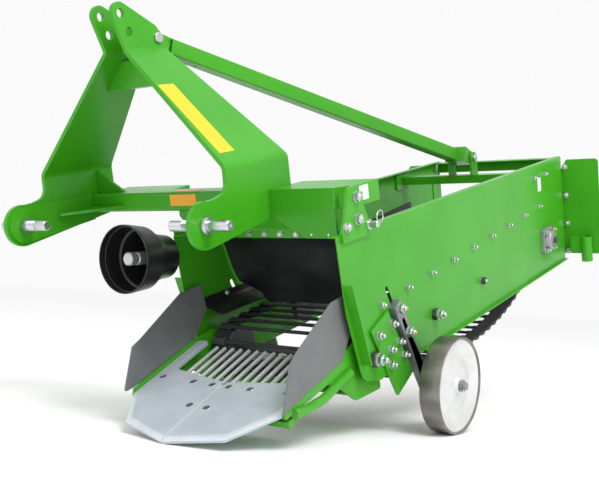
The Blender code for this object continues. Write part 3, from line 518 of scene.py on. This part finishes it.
def fastener_tree():
    """Washer, hexagon with a chamfered crown, and a stud end, on each point."""
    grid = Grid("fasteners")
    washer = grid.input("Washer radius")
    washer_t = grid.input("Washer thickness")
    hexagon = grid.input("Hexagon radius")
    hexagon_t = grid.input("Hexagon height")
    stud = grid.input("Stud radius")
    stud_t = grid.input("Stud length")
    material = grid.input("Material", "NodeSocketMaterial")
    hex_top = grid.plus(washer_t, hexagon_t)
    crown_t = grid.times(hexagon_t, 0.18)
    crown_top = grid.plus(hex_top, crown_t)
    stud_top = grid.plus(crown_top, stud_t)
    tip = grid.times(stud, 0.72)
    tip_t = grid.times(stud, 0.35)
    shape = grid.join(
        grid.drum(20, washer, washer_t, 0.0),
        grid.drum(6, hexagon, hexagon_t, washer_t),
        grid.drum(6, hexagon, crown_t, hex_top, grid.times(hexagon, 0.86)),
        grid.drum(12, stud, stud_t, crown_top),
        grid.drum(12, stud, tip_t, stud_top, tip),
    )
    grid.on_points(shape, material)
    return grid


FASTENERS = fastener_tree()


def grown(name, points, facing, grid, values):
    """A piece grown by a tree on points given in machine millimetres."""
    mesh = bpy.data.meshes.new(name)
    mesh.from_pydata([MACHINE @ Vector(p) for p in points], [], [])
    way = (STANCE.to_3x3() @ Vector(facing)).normalized()
    mesh.attributes.new("facing", "FLOAT_VECTOR", "POINT")
    mesh.attributes["facing"].data.foreach_set("vector", list(way) * len(points))
    seed = bpy.data.objects.new(name, mesh)
    bpy.context.scene.collection.objects.link(seed)
    modifier = seed.modifiers.new("grown", "NODES")
    modifier.node_group = grid.tree
    for key, value in values.items():
        modifier[grid.keys[key]] = value
    graph = bpy.context.evaluated_depsgraph_get()
    made = bpy.data.meshes.new_from_object(seed.evaluated_get(graph))
    bpy.data.objects.remove(seed)
    made.name = name
    obj = bpy.data.objects.new(name, made)
    bpy.context.scene.collection.objects.link(obj)
    made.shade_smooth()
    made.set_sharp_from_angle(angle=math.radians(SMOOTH_BELOW))
    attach(obj, "machine")
    return obj


def fasteners(name, points, facing, thread, stud, washer=True, material=ZINC):
    """Bolts of this thread size: nut, washer and thread end, or a bare head with stud 0."""
    values = {
        "Washer radius": thread * (1.05 if washer else 0.6) * MM,
        "Washer thickness": thread * 0.18 * MM,
        "Hexagon radius": thread * 0.92 * MM,
        "Hexagon height": thread * 0.7 * MM,
        "Stud radius": thread * 0.5 * MM,
        "Stud length": max(stud, 0.05) * MM,
        "Material": material,
    }
    return grown(name, points, facing, FASTENERS, values)


def both_walls(name, spots, **options):
    """The same fasteners on the outer faces of both side walls."""
    for side, label in SIDES:
        points = [(BODY_X + side * (BODY_HALF + stand), y, z) for y, z, stand in spots]
        fasteners(f"{name}_{label}", points, (side, 0, 0), **options)


# --- frame solids that keep their shape --------------------------------------
def green_frame():
    """The welded and bent green parts, with their edges broken."""
    for side in ("left", "right"):
        refined(f"mast_plate_{side}", GREEN, 1.8)
        refined(f"side_wall_{side}", GREEN, 0.8)
        refined(f"rear_wing_{side}", GREEN, 0.7)
        refined(f"wheel_bracket_{side}", GREEN, 1.2)
    refined("cross_beam", GREEN, 1.6)
    refined("hitch_box", GREEN, 2.0)
    refined("top_stay", GREEN, 1.2)
    for node in ("mast_spreader", "rear_cross_bar", "rear_cross_angle", "share_frame"):
        refined(node, GREEN, 0.8)
    for node in ("curtain_bar", "web_guard_plate", "line_shaft_tube"):
        refined(node, GREEN, 0.8)
    refined("gearbox", CASTING, 2.5)


def wall_rims():
    """The rolled bend along each wall's top."""
    bend, thick, width, depth = 7.0, 2.6, 23.0, 26.0
    outer = BODY_HALF + PROUD
    centre = (outer - bend, WALL_TOP - bend)
    profile = [(outer, WALL_TOP - depth), (outer, WALL_TOP - bend)]
    profile += arc(centre, bend, 0, 90, 6)[1:]
    profile += [(outer - width, WALL_TOP), (outer - width, WALL_TOP - thick)]
    profile += [(outer - bend, WALL_TOP - thick)]
    profile += arc(centre, bend - thick, 90, 0, 5)[1:]
    profile += [(outer - thick, WALL_TOP - depth)]
    for side, label in SIDES:
        points = [(BODY_X + side * x, z) for x, z in profile]
        rim = sheet_of([points], "Y", WALL_FRONT + 6.0, WALL_REAR)
        piece(f"wall_rim_{label}", rim, GREEN, angle=40)


# --- mast and hitch ----------------------------------------------------------
def lower_pins():
    """Turned zinc pins: a nut inside, a collar outside, a centred end, and a dark disc as painted shade for the
    drilled hole.
    """
    pin_r, collar_r, nut_r, hole_r = 14.0, 23.0, 23.0, 4.5
    collar = PIN_X + PLATE + 0.3
    end = PIN_X + 89.5
    inner_end = 237.0
    profile = [(0.0, inner_end), (11.0, inner_end), (pin_r, 240.0), (pin_r, collar)]
    profile += [(collar_r - 1.0, collar), (collar_r, collar + 1.5), (collar_r, collar + 8.0)]
    profile += [(20.0, collar + 13.0), (pin_r, collar + 13.0), (pin_r, end - 4.0)]
    profile += [(11.0, end), (4.5, end), (3.5, end - 3.0), (0.0, end - 4.5)]
    for side, label in SIDES:
        axis = ((0, 0, 0), (side, 0, 0))
        pin = turned(profile, *axis, 40, closed=False)
        faces = sorted((side * (PIN_X - 26.0), side * (PIN_X - 9.0)))
        nut = sheet_of([circle((0, 0), nut_r, 6)], "X", *faces)
        threads = [
            turned([(pin_r + 0.1, h), (pin_r + 1.0, h + 0.8), (pin_r + 0.1, h + 1.6)], *axis, 28)
            for h in np.arange(282.0, 314.0, 2.0)
        ]
        # Painted shade: no hole is cut; a thin dark disc on the pin's side stands in for the shade inside the
        # drilled hole.
        drilled = side * (end - 22.0)
        rim = [(0.0, pin_r + 0.2), (hole_r, pin_r + 0.2), (hole_r, pin_r + 0.6), (0.0, pin_r + 0.6)]
        hole = turned(rim, (drilled, 0, 0), (drilled, 0, 1), 16)
        pin_name = f"lower_pin_{label}"
        piece(f"pin_{label}", merged(pin, nut, *threads), ZINC, stands_for=[pin_name])
        piece(f"pin_hole_shade_{label}", hole, DARK_STEEL_AND_SHADE)


def stay_pins():
    """The pins through the stay's two ends: a head, and a washer and a chamfered end past it."""
    for node, radius, head, a, b, place, centre in (
        ("stay_pin_front", 10.0, 15.0, -43.5, 43.5, (247.0, 481.0), 0.0),
        ("stay_pin_rear", 9.0, 14.0, -48.0, 48.0, (1480.0, -18.0), BODY_X),
    ):
        profile = [(0.0, a - 8.0), (head - 2.0, a - 8.0), (head, a - 6.0), (head, a - 0.3)]
        profile += [(radius, a - 0.3), (radius, b + 0.3), (head, b + 0.3), (head, b + 4.0)]
        profile += [(head - 1.5, b + 5.0), (radius, b + 5.0), (radius, b + 12.0)]
        profile += [(radius - 2.0, b + 14.0), (0.0, b + 14.0)]
        shape = turned(profile, (centre, *place), (centre - 1, *place), 32, closed=False)
        piece(node + "_turned", shape, ZINC, stands_for=[node])


def labels():
    """Blank stickers where the machine carries its notices."""
    ear_foot, plate_foot = 447.0, 129.0  # heights between which the mast plates spread
    middle, forward = 249.0, 148.0
    spread = (PIN_X - EAR_X) / (ear_foot - plate_foot)
    slant = math.hypot(1.0, spread)
    face = Matrix((
        (spread / slant, 0, 1 / slant, 0),
        (0, 1, 0, 0),
        (-1 / slant, 0, spread / slant, 0),
        (0, 0, 0, 1),
    ))
    place = Matrix.Translation((EAR_X + (ear_foot - middle) * spread, forward, middle))
    start = place @ face @ Matrix.Translation((0, 0, PLATE + PROUD))
    outline = rounded(rectangle(-130, 130, -30, 30), 2.0, 3)
    strip = sheet_of([outline], "Z", -STICKER / 2, STICKER / 2, start)
    piece("notice_strip", strip, YELLOW)

    front = sheet_of([rectangle(-8.0, 92.0, 9.0, 41.5)], "Y", 264.7, 264.7 + STICKER)
    over = sheet_of([rectangle(-8.0, 92.0, 274.0, 300.0)], "Z", 49.4, 49.4 + STICKER)
    piece("notice_beam", merged(front, over), ORANGE)

    end = along((600.0, 306.0, 20.0), (601.0, 306.0, 20.0), (0, 1, 0))
    tag = sheet_of([rectangle(14.0, 58.0, -14.0, 24.0)], "Z", 0.2, 0.2 + STICKER, end)
    piece("notice_lifting", tag, WHITE)

    outline = rectangle(1531.0, 1564.0, -158.0, -109.0)
    spot = sheet_of([outline], "X", WALL_OUT + 0.1, WALL_OUT + 0.1 + STICKER)
    piece("plate_blank", spot, WHITE)


def linch_pin():
    """The ring clip through the bracket's pin on the left wall."""
    y, z = 306.0, -52.0
    ring_high, ring_wide, wire_r = 15.0, 21.0, 1.8
    profile = [(0.0, 0.4), (14.0, 0.4), (14.0, 3.0), (9.0, 3.0), (9.0, 26.0), (7.0, 28.0)]
    profile += [(0.0, 28.0)]
    start = WALL_OUT + 8.0
    head = turned(profile, (start, y, z), (start + 1.0, y, z), 24, closed=False)
    ring = [
        (
            start + 18.0 + 7 * math.sin(t / 2),
            y + 20 + ring_wide * math.cos(t),
            z + 17 + ring_high * math.sin(t),
        )
        for t in np.linspace(0, math.tau, 28, endpoint=False)
    ]
    piece("linch_pin", merged(head, tube(ring, wire_r, 12, closed=True)), ZINC)


# --- share -------------------------------------------------------------------
SHARE_PLANE = Matrix.Translation((BODY_X, *SHARE_SEAM)) @ Matrix.Rotation(SHARE_SLOPE, 4, "X")


def share_blades():
    """Two plates either side of a seam, each ground to a long bevel along its front."""
    ground, least_bevel_area = 16.0, 2e-5
    for side, label in SIDES:
        outline = [(0.4, -249.0), (157.0, -206.5), (228.0, -104.0), (237.0, -90.0), (237.0, 176.0)]
        outline += [(198.0, 176.0), (198.0, 32.0), (8.0, 1.0), (8.0, -12.0), (0.4, -12.0)]
        inset = [(0.4, -249.0 + ground), (150.5, -206.5 + ground + 1.5), (213.0, -101.0)]
        inset += [(222.0, -84.0), (222.0, 176.0)] + outline[5:]
        bm = bmesh.new()
        rings = [[bm.verts.new((side * x, s, h)) for x, s in points]
                 for points, h in ((outline, -SHARE_T), (outline, -5.0), (inset, 0.0))]
        for low, high in zip(rings, rings[1:]):
            for i in range(len(low)):
                k = (i + 1) % len(low)
                bm.faces.new((low[i], low[k], high[k], high[i]))
        bm.faces.new(rings[0])
        bm.faces.new(rings[-1])
        bm.transform(SHARE_PLANE)
        bmesh.ops.recalc_face_normals(bm, faces=bm.faces)
        stands_for = [f"share_{label}"]
        blade = piece(f"blade_{label}", bm, SHARE, bevel=0.7, stands_for=stands_for)
        blade.data.materials.append(GROUND)
        up = (MACHINE.to_3x3() @ SHARE_PLANE.to_3x3() @ Vector((0, 0, 1))).normalized()
        for face in blade.data.polygons:
            lean = face.normal.dot(up)
            if 0.5 < lean < 0.985 and face.area > least_bevel_area:
                face.material_index = 1


def share_bolts():
    """Countersunk screws, each a dished ring round a six-sided socket whose depth is a dark disc of painted shade.
    """
    spots = [(27.0, -110.0), (27.0, -18.0), (92.0, -16.0), (201.0, -12.0)]
    ring = [(9.5, 0.0), (9.0, 0.4), (4.6, 0.5), (4.0, -1.0), (9.0, -1.0)]
    # Painted shade: a thin dark hexagon just under the ring's top stands in for the shade inside the socket.
    socket = [(0.0, 0.05), (4.4, 0.05), (4.4, 0.12), (0.0, 0.12)]
    for side, label in SIDES:
        rings, sockets = [], []
        for x, s in spots:
            base = SHARE_PLANE @ Vector((side * x, s, 0.1))
            top = SHARE_PLANE @ Vector((side * x, s, 1.1))
            rings.append(turned(ring, base, top, 24))
            sockets.append(turned(socket, base, top, 6, closed=False))
        piece(f"share_screws_{label}", merged(*rings), ZINC)
        piece(f"share_socket_shades_{label}", merged(*sockets), DARK_STEEL_AND_SHADE)


def share_sides():
    """Side plates with their front strips bent outwards."""
    corners = [(-108.0, -417.0), (-60.0, -309.0), (139.0, -215.0), (224.0, -211.0)]
    corners += [(236.0, -282.0), (160.0, -370.0)]
    outline = rounded(corners, 5.0, 4)
    outward = 0.22  # how far the front strip leans out for each millimetre past the fold
    for side, label in SIDES:
        inner, outer = (BODY_X + side * x for x in (CHEEK_X, CHEEK_X + CHEEK_T))
        bm = sheet_of([outline], "X", inner, outer)
        fold, lean = Vector((BODY_X, -84.0, -417.0)), Vector((0.0, -0.914, 0.406))
        everything = bm.verts[:] + bm.edges[:] + bm.faces[:]
        bmesh.ops.bisect_plane(bm, geom=everything, plane_co=fold, plane_no=lean)
        for vert in bm.verts:
            past = (vert.co - fold).dot(lean)
            if past > 0.1:
                vert.co.x += side * past * outward
        # The cheeks carry the darker steel that stands in for their shade.
        piece(f"share_cheek_{label}", bm, SHADED_SIDE_STEEL, bevel=0.8,
              stands_for=[f"share_side_{label}"])


def rod_tree():
    """A bar with a domed end lying along local Z on each point."""
    grid = Grid("bars")
    radius = grid.input("Radius")
    length = grid.input("Length")
    material = grid.input("Material", "NodeSocketMaterial")
    shape = grid.join(
        grid.drum(16, radius, length, 0.0),
        grid.drum(16, radius, grid.times(radius, 0.5), length, grid.times(radius, 0.6)),
    )
    grid.on_points(shape, material)
    return grid


BARS = rod_tree()


def share_rods():
    """The row of bars behind the blades, and the carrier under them."""
    count, pitch = 13, 28.0
    across = [(i - (count - 1) / 2) * pitch for i in range(count)]
    starts = [SHARE_PLANE @ Vector((x, -40.0, -SHARE_T - 7.3)) for x in across]
    way = SHARE_PLANE.to_3x3() @ Vector((0, 1, 0))
    values = {"Radius": 5.5 * MM, "Length": 216.0 * MM, "Material": ROD_STEEL}
    rods = grown("share_bars", starts, way, BARS, values)
    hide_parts("share_rods")
    level = (-SHARE_T - 16.3, -SHARE_T - 0.3)
    carrier = block((-225.0, 225.0), (-64.0, -24.0), level, SHARE_PLANE)
    piece("share_bar_carrier", carrier, DARK_STEEL_AND_SHADE, bevel=1.0)


# --- web ---------------------------------------------------------------------
def web_line(extra):
    """The belt's running line in (y, z), this far outside the rollers."""
    front_r, drive_r = 60.5 + extra, 64.5 + extra
    run = Vector(DRIVE_AXLE) - Vector(FRONT_AXLE)
    rise = math.degrees(math.atan2(run.y + drive_r - front_r, run.x))
    front = arc(FRONT_AXLE, front_r, 90 + rise, 258, 20)
    rear = arc(DRIVE_AXLE, drive_r, -58, 90 + rise, 20)
    p0, p3 = Vector(front[-1]), Vector(rear[0])
    a, b = math.radians(-12), math.radians(32)
    p1 = p0 + Vector((math.cos(a), math.sin(a))) * 470.0
    p2 = p3 - Vector((math.cos(b), math.sin(b))) * 480.0
    low, low_steps, top_steps = [], 40, 16
    for i in range(1, low_steps):
        t = i / low_steps
        u = 1 - t
        low.append(tuple(p0 * u**3 + p1 * 3 * t * u**2 + p2 * 3 * t * t * u + p3 * t**3))
    start, end = Vector(rear[-1]), Vector(front[0])
    top = [tuple(start.lerp(end, i / top_steps)) for i in range(1, top_steps)]
    return front + low + rear + top


def on_line(line, count):
    """Evenly spaced places on a closed line, each with its direction."""
    spots = [Vector(p) for p in line]
    steps = [(b - a).length for a, b in zip(spots, spots[1:] + spots[:1])]
    total, found = sum(steps), []
    for i in range(count):
        left, k = total * (i + 0.5) / count, 0
        while left > steps[k]:
            left -= steps[k]
            k += 1
        a, b = spots[k], spots[(k + 1) % len(spots)]
        found.append((a.lerp(b, left / steps[k]), (b - a).normalized()))
    return found


def web():
    """Two riveted belts with a rod every few centimetres, and a lug where a belt holds it."""
    outer, inner = web_line(BELT_T), web_line(0.0)
    belts = []
    for side in (1, -1):
        a, b = sorted((BODY_X + side * BELT_IN, BODY_X + side * BELT_OUT))
        belts.append(sheet_of([outer, inner], "X", a, b))
    piece("web_belts", merged(*belts), WEB_RUBBER, stands_for=["web"], angle=40)
    rods, lugs, rivets = [], [], []
    for spot, way in on_line(web_line(BELT_T + 3.5), WEB_RODS):
        frame_here = Matrix((
            (1, 0, 0, BODY_X),
            (0, way.x, -way.y, spot.x),
            (0, way.y, way.x, spot.y),
            (0, 0, 0, 1),
        ))
        rods.append(frame_here)
        for side in (1, -1):
            lugs.append(frame_here @ Matrix.Translation((side * 197.0, 0, 0)))
            for across in (184.0, 210.0):
                rivets.append(frame_here @ Matrix.Translation((side * across, 0, 0)))
    profile = [(0, -176), (7.5, -176), (7.5, -164), (5.2, -154)]
    profile += [(r, -h) for r, h in reversed(profile)]
    across, out = Vector((1, 0, 0)), Vector((0, 0, 1))
    bars = [turned(profile, m.translation, m @ across, 12, closed=False) for m in rods]
    ends = [block((-23, 23), (-10, 10), (-3.0, 2.5), m) for m in lugs]
    piece("web_rods", merged(*bars), WEB_RUBBER)
    piece("web_lugs", merged(*ends), DARK_STEEL_AND_SHADE, bevel=1.2)
    dome = [(0, 2.5), (6.4, 2.6), (5.6, 4.8), (0, 6.0)]
    heads = [turned(dome, m.translation, m @ out, 10, closed=False) for m in rivets]
    piece("web_rivets", merged(*heads), ROD_STEEL)


def rollers():
    """The rollers inside the web and their shafts, kept at the frame's shapes."""
    for node in ("front_roller", "support_roller_front", "support_roller_rear", "drive_shaft"):
        refined(node, DARK_STEEL_AND_SHADE, 0.8)


# --- wheels ------------------------------------------------------------------
def wheels():
    """Dished discs in a broad rim, with a raised hub and a split pin at the axle."""
    for side, label in SIDES:
        start, end = (BODY_X, *WHEEL), (BODY_X + side, *WHEEL)
        face, inner = WHEEL_FACE, WHEEL_FACE - WHEEL_WIDTH
        rim = [(128.0, inner + 5.0), (131.0, inner + 1.0), (WHEEL_R - 1.5, inner + 1.5)]
        rim += [(WHEEL_R, inner + 4.5), (WHEEL_R, face - 4.5), (WHEEL_R - 1.5, face - 1.5)]
        rim += [(131.0, face - 1.0), (128.0, face - 3.5), (127.0, face - 9.0)]
        rim += [(127.0, inner + 20.0)]
        disc = [(127.5, face - 6.0), (124.0, face - 5.0), (119.0, face - 7.0)]
        disc += [(104.0, face - 17.0), (90.0, face - 20.0), (76.0, face - 18.0)]
        disc += [(62.0, face - 12.5), (56.0, face - 11.5), (34.0, face - 11.5)]
        disc += [(27.0, face - 9.0), (24.0, face - 3.0), (22.0, face - 0.8)]
        disc += [(12.4, face - 0.8), (12.4, inner + 0.8), (24.0, inner + 0.8)]
        disc += [(24.0, face - 17.0), (60.0, face - 18.0), (90.0, face - 26.0)]
        disc += [(124.0, face - 14.0)]
        spin = f"wheel_{label}"
        tread = turned(rim, start, end, 96)
        piece(f"rim_{label}", tread, TREAD, spin, stands_for=[spin])
        piece(f"disc_{label}", turned(disc, start, end, 96), DISC, spin)
        x = BODY_X + side * (face + 11.5)
        cotter = [(x, WHEEL[0] + t, WHEEL[1] + t * 0.6) for t in (-17, -6, 6, 15)]
        piece(f"cotter_{label}", tube(cotter, 1.7, 8), ZINC)


def wheel_arms():
    """The flat bars that carry the wheels, kept at the frame's shapes."""
    for side, label in SIDES:
        refined(f"wheel_arm_{label}", ARM_STEEL, 1.0)


# --- drive line --------------------------------------------------------------
def drive_point(s):
    """The point this many millimetres down the drive line from its front end."""
    return (DRIVE_X, s * math.cos(DRIVE_FALL), DRIVE_Z - s * math.sin(DRIVE_FALL))


def guard():
    """The moulded bell over the drive stub: rolled lip, step, and two ridges inside."""
    profile = [(GUARD_R - 3.0, -3.5), (GUARD_R - 0.5, -4.0), (GUARD_R, -2.5), (GUARD_R, 8.0)]
    profile += [(GUARD_R - 6.0, 62.0), (80.0, 66.0), (64.0, 110.0), (60.0, 150.0)]
    profile += [(26.4, 150.0), (26.4, 147.0), (57.0, 147.0), (61.0, 109.0), (77.0, 64.0)]
    profile += [(GUARD_R - 9.0, 61.0), (GUARD_R - 3.0, 8.0)]
    axis = (drive_point(0), drive_point(1))
    bell = turned(profile, *axis, 72)
    ridge, crest = GUARD_R - 4.0, GUARD_R - 5.5
    rings = [
        turned([(ridge, s), (crest, s + 1), (ridge, s + 2)], *axis, 72) for s in (14.0, 34.0)
    ]
    shell = merged(bell, *rings)
    piece("guard_bell", shell, PLASTIC, stands_for=["pto_guard"])


def drive_stub():
    """The drive stub's splines and ring groove, and the shaft behind it."""
    shaft_r, groove_r = 17.5, 14.8
    profile = [(0.0, 12.0), (14.5, 12.0), (shaft_r, 15.0), (shaft_r, 34.0)]
    profile += [(groove_r, 36.5), (groove_r, 41.5), (shaft_r, 44.0), (shaft_r, 88.0)]
    profile += [(15.0, 90.0), (15.0, 1490.0), (0.0, 1490.0)]
    axis = (drive_point(0), drive_point(1))
    shaft = turned(profile, *axis, 48, closed=False)
    splines, ridges = 6, []
    for i in range(splines):
        spot = math.tau * i / splines
        centre = Vector((16.4 * math.cos(spot), 16.4 * math.sin(spot), 0.0))
        place = along(*axis) @ Matrix.Translation(centre) @ Matrix.Rotation(spot, 4, "Z")
        for a, b in ((15.0, 34.0), (44.0, 86.0)):
            ridges.append(block((-2.0, 1.4), (-4.2, 4.2), (a, b), place))
    stub = merged(shaft, *ridges)
    piece("drive_stub", stub, ROD_STEEL, "pto_shaft", stands_for=["pto_shaft"])


def wall_bearing():
    """The cast bearing on the left wall: flange, domed housing, lock ring, grease nipple."""
    half_flange, bore_r = 47.5, 12.8
    y, z = DRIVE_AXLE
    corners = rectangle(y - half_flange, y + half_flange, z - half_flange, z + half_flange)
    outlines = [rounded(corners, 13.0, 5), circle((y, z), bore_r, 32)]
    flange = sheet_of(outlines, "X", WALL_OUT + 0.3, WALL_OUT + 13.0)
    dome = [(bore_r, 12.0), (38.0, 12.0), (37.0, 22.0), (33.0, 31.0), (27.0, 33.5)]
    dome += [(25.0, 30.0), (20.0, 30.0), (19.0, 36.0), (bore_r, 36.0)]
    housing = turned(dome, (WALL_OUT, y, z), (WALL_OUT + 1, y, z), 48)
    body, stands_for = merged(flange, housing), ["flange_bearing"]
    piece("wall_bearing", body, CASTING, bevel=1.2, stands_for=stands_for)

    profile = [(0, 26), (3.4, 26), (3.4, 40), (2.0, 42), (2.6, 45), (0, 46)]
    foot, way = (WALL_OUT + 20, y, z + 8), (WALL_OUT + 20.4, y, z + 9)
    piece("grease_nipple", turned(profile, foot, way, 12, closed=False), GOLD)


# --- rubber ------------------------------------------------------------------
def curtain():
    """The hanging rubber sheet, bowed to the rear, and the flaps beside it."""
    refined("curtain", SHEET_RUBBER, 0.8, "curtain_sheet", 50)
    for side in ("left", "right"):
        refined(f"side_flap_{side}", SHEET_RUBBER, 0.8)


def wall_seals():
    """Rubber strips clamped inside the walls over the web's edges."""
    for side, label in SIDES:
        a, b = (BODY_X + side * (BODY_HALF - WALL - gap) for gap in (0.5, 5.5))
        outline = [(470.0, -292.0), (1530.0, -240.0), (1530.0, -188.0), (470.0, -240.0)]
        strip = sheet_of([outline], "X", *sorted((a, b)))
        piece(f"wall_seal_{label}", strip, SHEET_RUBBER, bevel=0.8)
        low = BODY_X + side * 224.0
        lip = [(a, -262.0), (a, -258.0), (low, -300.0), (low, -304.0)]
        sheet = sheet_of([lip], "Y", 600.0, 1500.0)
        piece(f"seal_lip_{label}", sheet, SHEET_RUBBER, bevel=0.5)


# --- bolts -------------------------------------------------------------------
def bolts():
    """Every visible nut, bolt head and rivet."""
    first, last, count = (490.0, -263.0), (1520.0, -210.0), 8
    row = [
        (
            first[0] + (last[0] - first[0]) * i / (count - 1),
            first[1] + (last[1] - first[1]) * i / (count - 1),
            PROUD,
        )
        for i in range(count)
    ]
    both_walls("wall_row", row, thread=9.0, stud=8.0)
    top = [(1493.0, -102.0, PROUD), (1603.0, -102.0, PROUD), (342.0, -274.0, PROUD)]
    both_walls("wall_top", top, thread=10.0, stud=5.0)
    pentagon = [(375.0, -334.0), (301.0, -345.0), (404.0, -392.0), (355.0, -399.0)]
    pentagon += [(424.0, -435.0), (351.0, -440.0)]
    both_walls("bracket", [(y, z, 8.6) for y, z in pentagon], thread=12.0, stud=7.0)
    bracket = WALL_OUT + 8.5
    pair = [(bracket, 253.0, 27.0), (bracket, 251.0, -29.0)]
    fasteners("hitch_bracket", pair, (1, 0, 0), 14.0, 0.0)
    fasteners("hitch_bracket_low", [(bracket, 198.0, -40.0)], (1, 0, 0), 12.0, 0.0)
    y, z = DRIVE_AXLE
    corners = [(WALL_OUT + 13.2, y + a * 34.0, z + b * 34.0) for a in (-1, 1) for b in (-1, 1)]
    fasteners("bearing_bolts", corners, (1, 0, 0), 11.0, 7.0)
    for side, label in SIDES:
        x = BODY_X + side * (BODY_HALF - WALL + 13.5)
        spots = [(x, 1807.6, level) for level in (-102.0, -213.0, -325.0, -436.0)]
        fasteners(f"wing_bolts_{label}", spots, (0, -1, 0), 11.0, 0.0)
        lean = (Vector(WHEEL) - Vector(ARM_TOP)).normalized()
        x = BODY_X + side * (BODY_HALF + 20.6)
        nuts = [(x, ARM_TOP[0] + lean.x * s, ARM_TOP[1] + lean.y * s) for s in (16.0, 100.0)]
        fasteners(f"arm_washers_{label}", nuts, (side, 0, 0), 15.0, 6.0)
        caps = [(p[0] + side * 14.0, p[1], p[2]) for p in nuts]
        fasteners(f"arm_studs_{label}", caps, (side, 0, 0), 8.0, 4.0, washer=False, material=GOLD)
    bar = [(BODY_X - BODY_HALF + 20.0 + 53.0 * i, 272.6, -73.0) for i in range(10)]
    fasteners("curtain_bolts", bar, (0, -1, 0), 8.0, 0.0)
    inside = BODY_HALF - WALL - 4.6
    for side, label in ((-1, "right"), (1, "left")):
        spot = (BODY_X + side * inside, 340.0, -264.0)
        fasteners(f"strip_bolt_{label}", [spot], (-side, 0, 0), 10.0, 0.0)
    for side, label in SIDES:
        axles = [(BODY_X + side * (BODY_HALF + 14.2), *FRONT_AXLE)]
        fasteners(f"front_axle_nut_{label}", axles, (side, 0, 0), 17.0, 10.0)
        rear = [(BODY_X + side * (BODY_HALF + PROUD), *MID_AXLES[1])]
        fasteners(f"rear_axle_nut_{label}", rear, (side, 0, 0), 11.5, 4.0)
        middle = [(BODY_X + side * (BODY_HALF + 14.2), *MID_AXLES[0])]
        fasteners(f"middle_axle_nut_{label}", middle, (side, 0, 0), 15.0, 6.0)


# --- light, floor and camera -------------------------------------------------
def studio():
    """A pale floor, a white surround, one broad key light from the right and a soft fill."""
    scene = bpy.context.scene
    world = bpy.data.worlds.new("surround")
    scene.world = world
    world.use_nodes = True
    background = world.node_tree.nodes["Background"].inputs
    background["Color"].default_value = (1.0, 1.0, 1.0, 1.0)
    background["Strength"].default_value = 0.96
    scene.view_settings.view_transform = "Standard"
    aim = Vector((0.1, -0.1, 0.4))
    for name, place, energy, size in (
        ("key", (3.4, -1.6, 4.6), 190.0, 2.4),
        ("fill", (-2.6, -4.4, 2.4), 14.0, 3.0),
    ):
        lamp = bpy.data.lights.new(name, "AREA")
        lamp.energy, lamp.size = energy, size
        light = bpy.data.objects.new(name, lamp)
        scene.collection.objects.link(light)
        light.location = place
        towards = aim - Vector(place)
        light.rotation_euler = towards.to_track_quat("-Z", "Y").to_euler()
    bpy.ops.mesh.primitive_plane_add(size=60.0)
    floor = bpy.context.object
    floor.name = "floor"
    look = Look("floor_paint", (0.96, 0.96, 0.96), 0.85, 0.0)
    look.set("Base Color", look.mix(look.noise(0.8), (0.95, 0.95, 0.95), (0.97, 0.97, 0.97)))
    floor.data.materials.append(look.material)


def camera():
    """Seen from the left front, nearly level with the machine."""
    azimuth, height, roll = math.radians(35.77), math.radians(10.39), math.radians(-6.095)
    place = Vector((1774.5, -1590.6, 298.9))
    level = math.cos(height)
    back = Vector((math.sin(azimuth) * level, -math.cos(azimuth) * level, math.sin(height)))
    right = Vector((math.cos(azimuth), math.sin(azimuth), 0.0))
    up = right.cross(-back)
    u = right * math.cos(roll) + up * math.sin(roll)
    v = up * math.cos(roll) - right * math.sin(roll)
    made = bpy.data.objects.new("camera", bpy.data.cameras.new("camera"))
    bpy.context.scene.collection.objects.link(made)
    turn = STANCE.to_3x3() @ Matrix((u, v, back)).transposed()
    made.matrix_world = Matrix.Translation(MACHINE @ place) @ turn.to_4x4()
    made.data.lens = 52.98
    made.data.shift_x, made.data.shift_y = -0.0029, 0.0117
    bpy.context.scene.camera = made


green_frame()
wall_rims()
lower_pins()
stay_pins()
labels()
linch_pin()
share_blades()
share_bolts()
share_sides()
share_rods()
web()
rollers()
wheels()
wheel_arms()
guard()
drive_stub()
wall_bearing()
curtain()
wall_seals()
bolts()
studio()
camera()
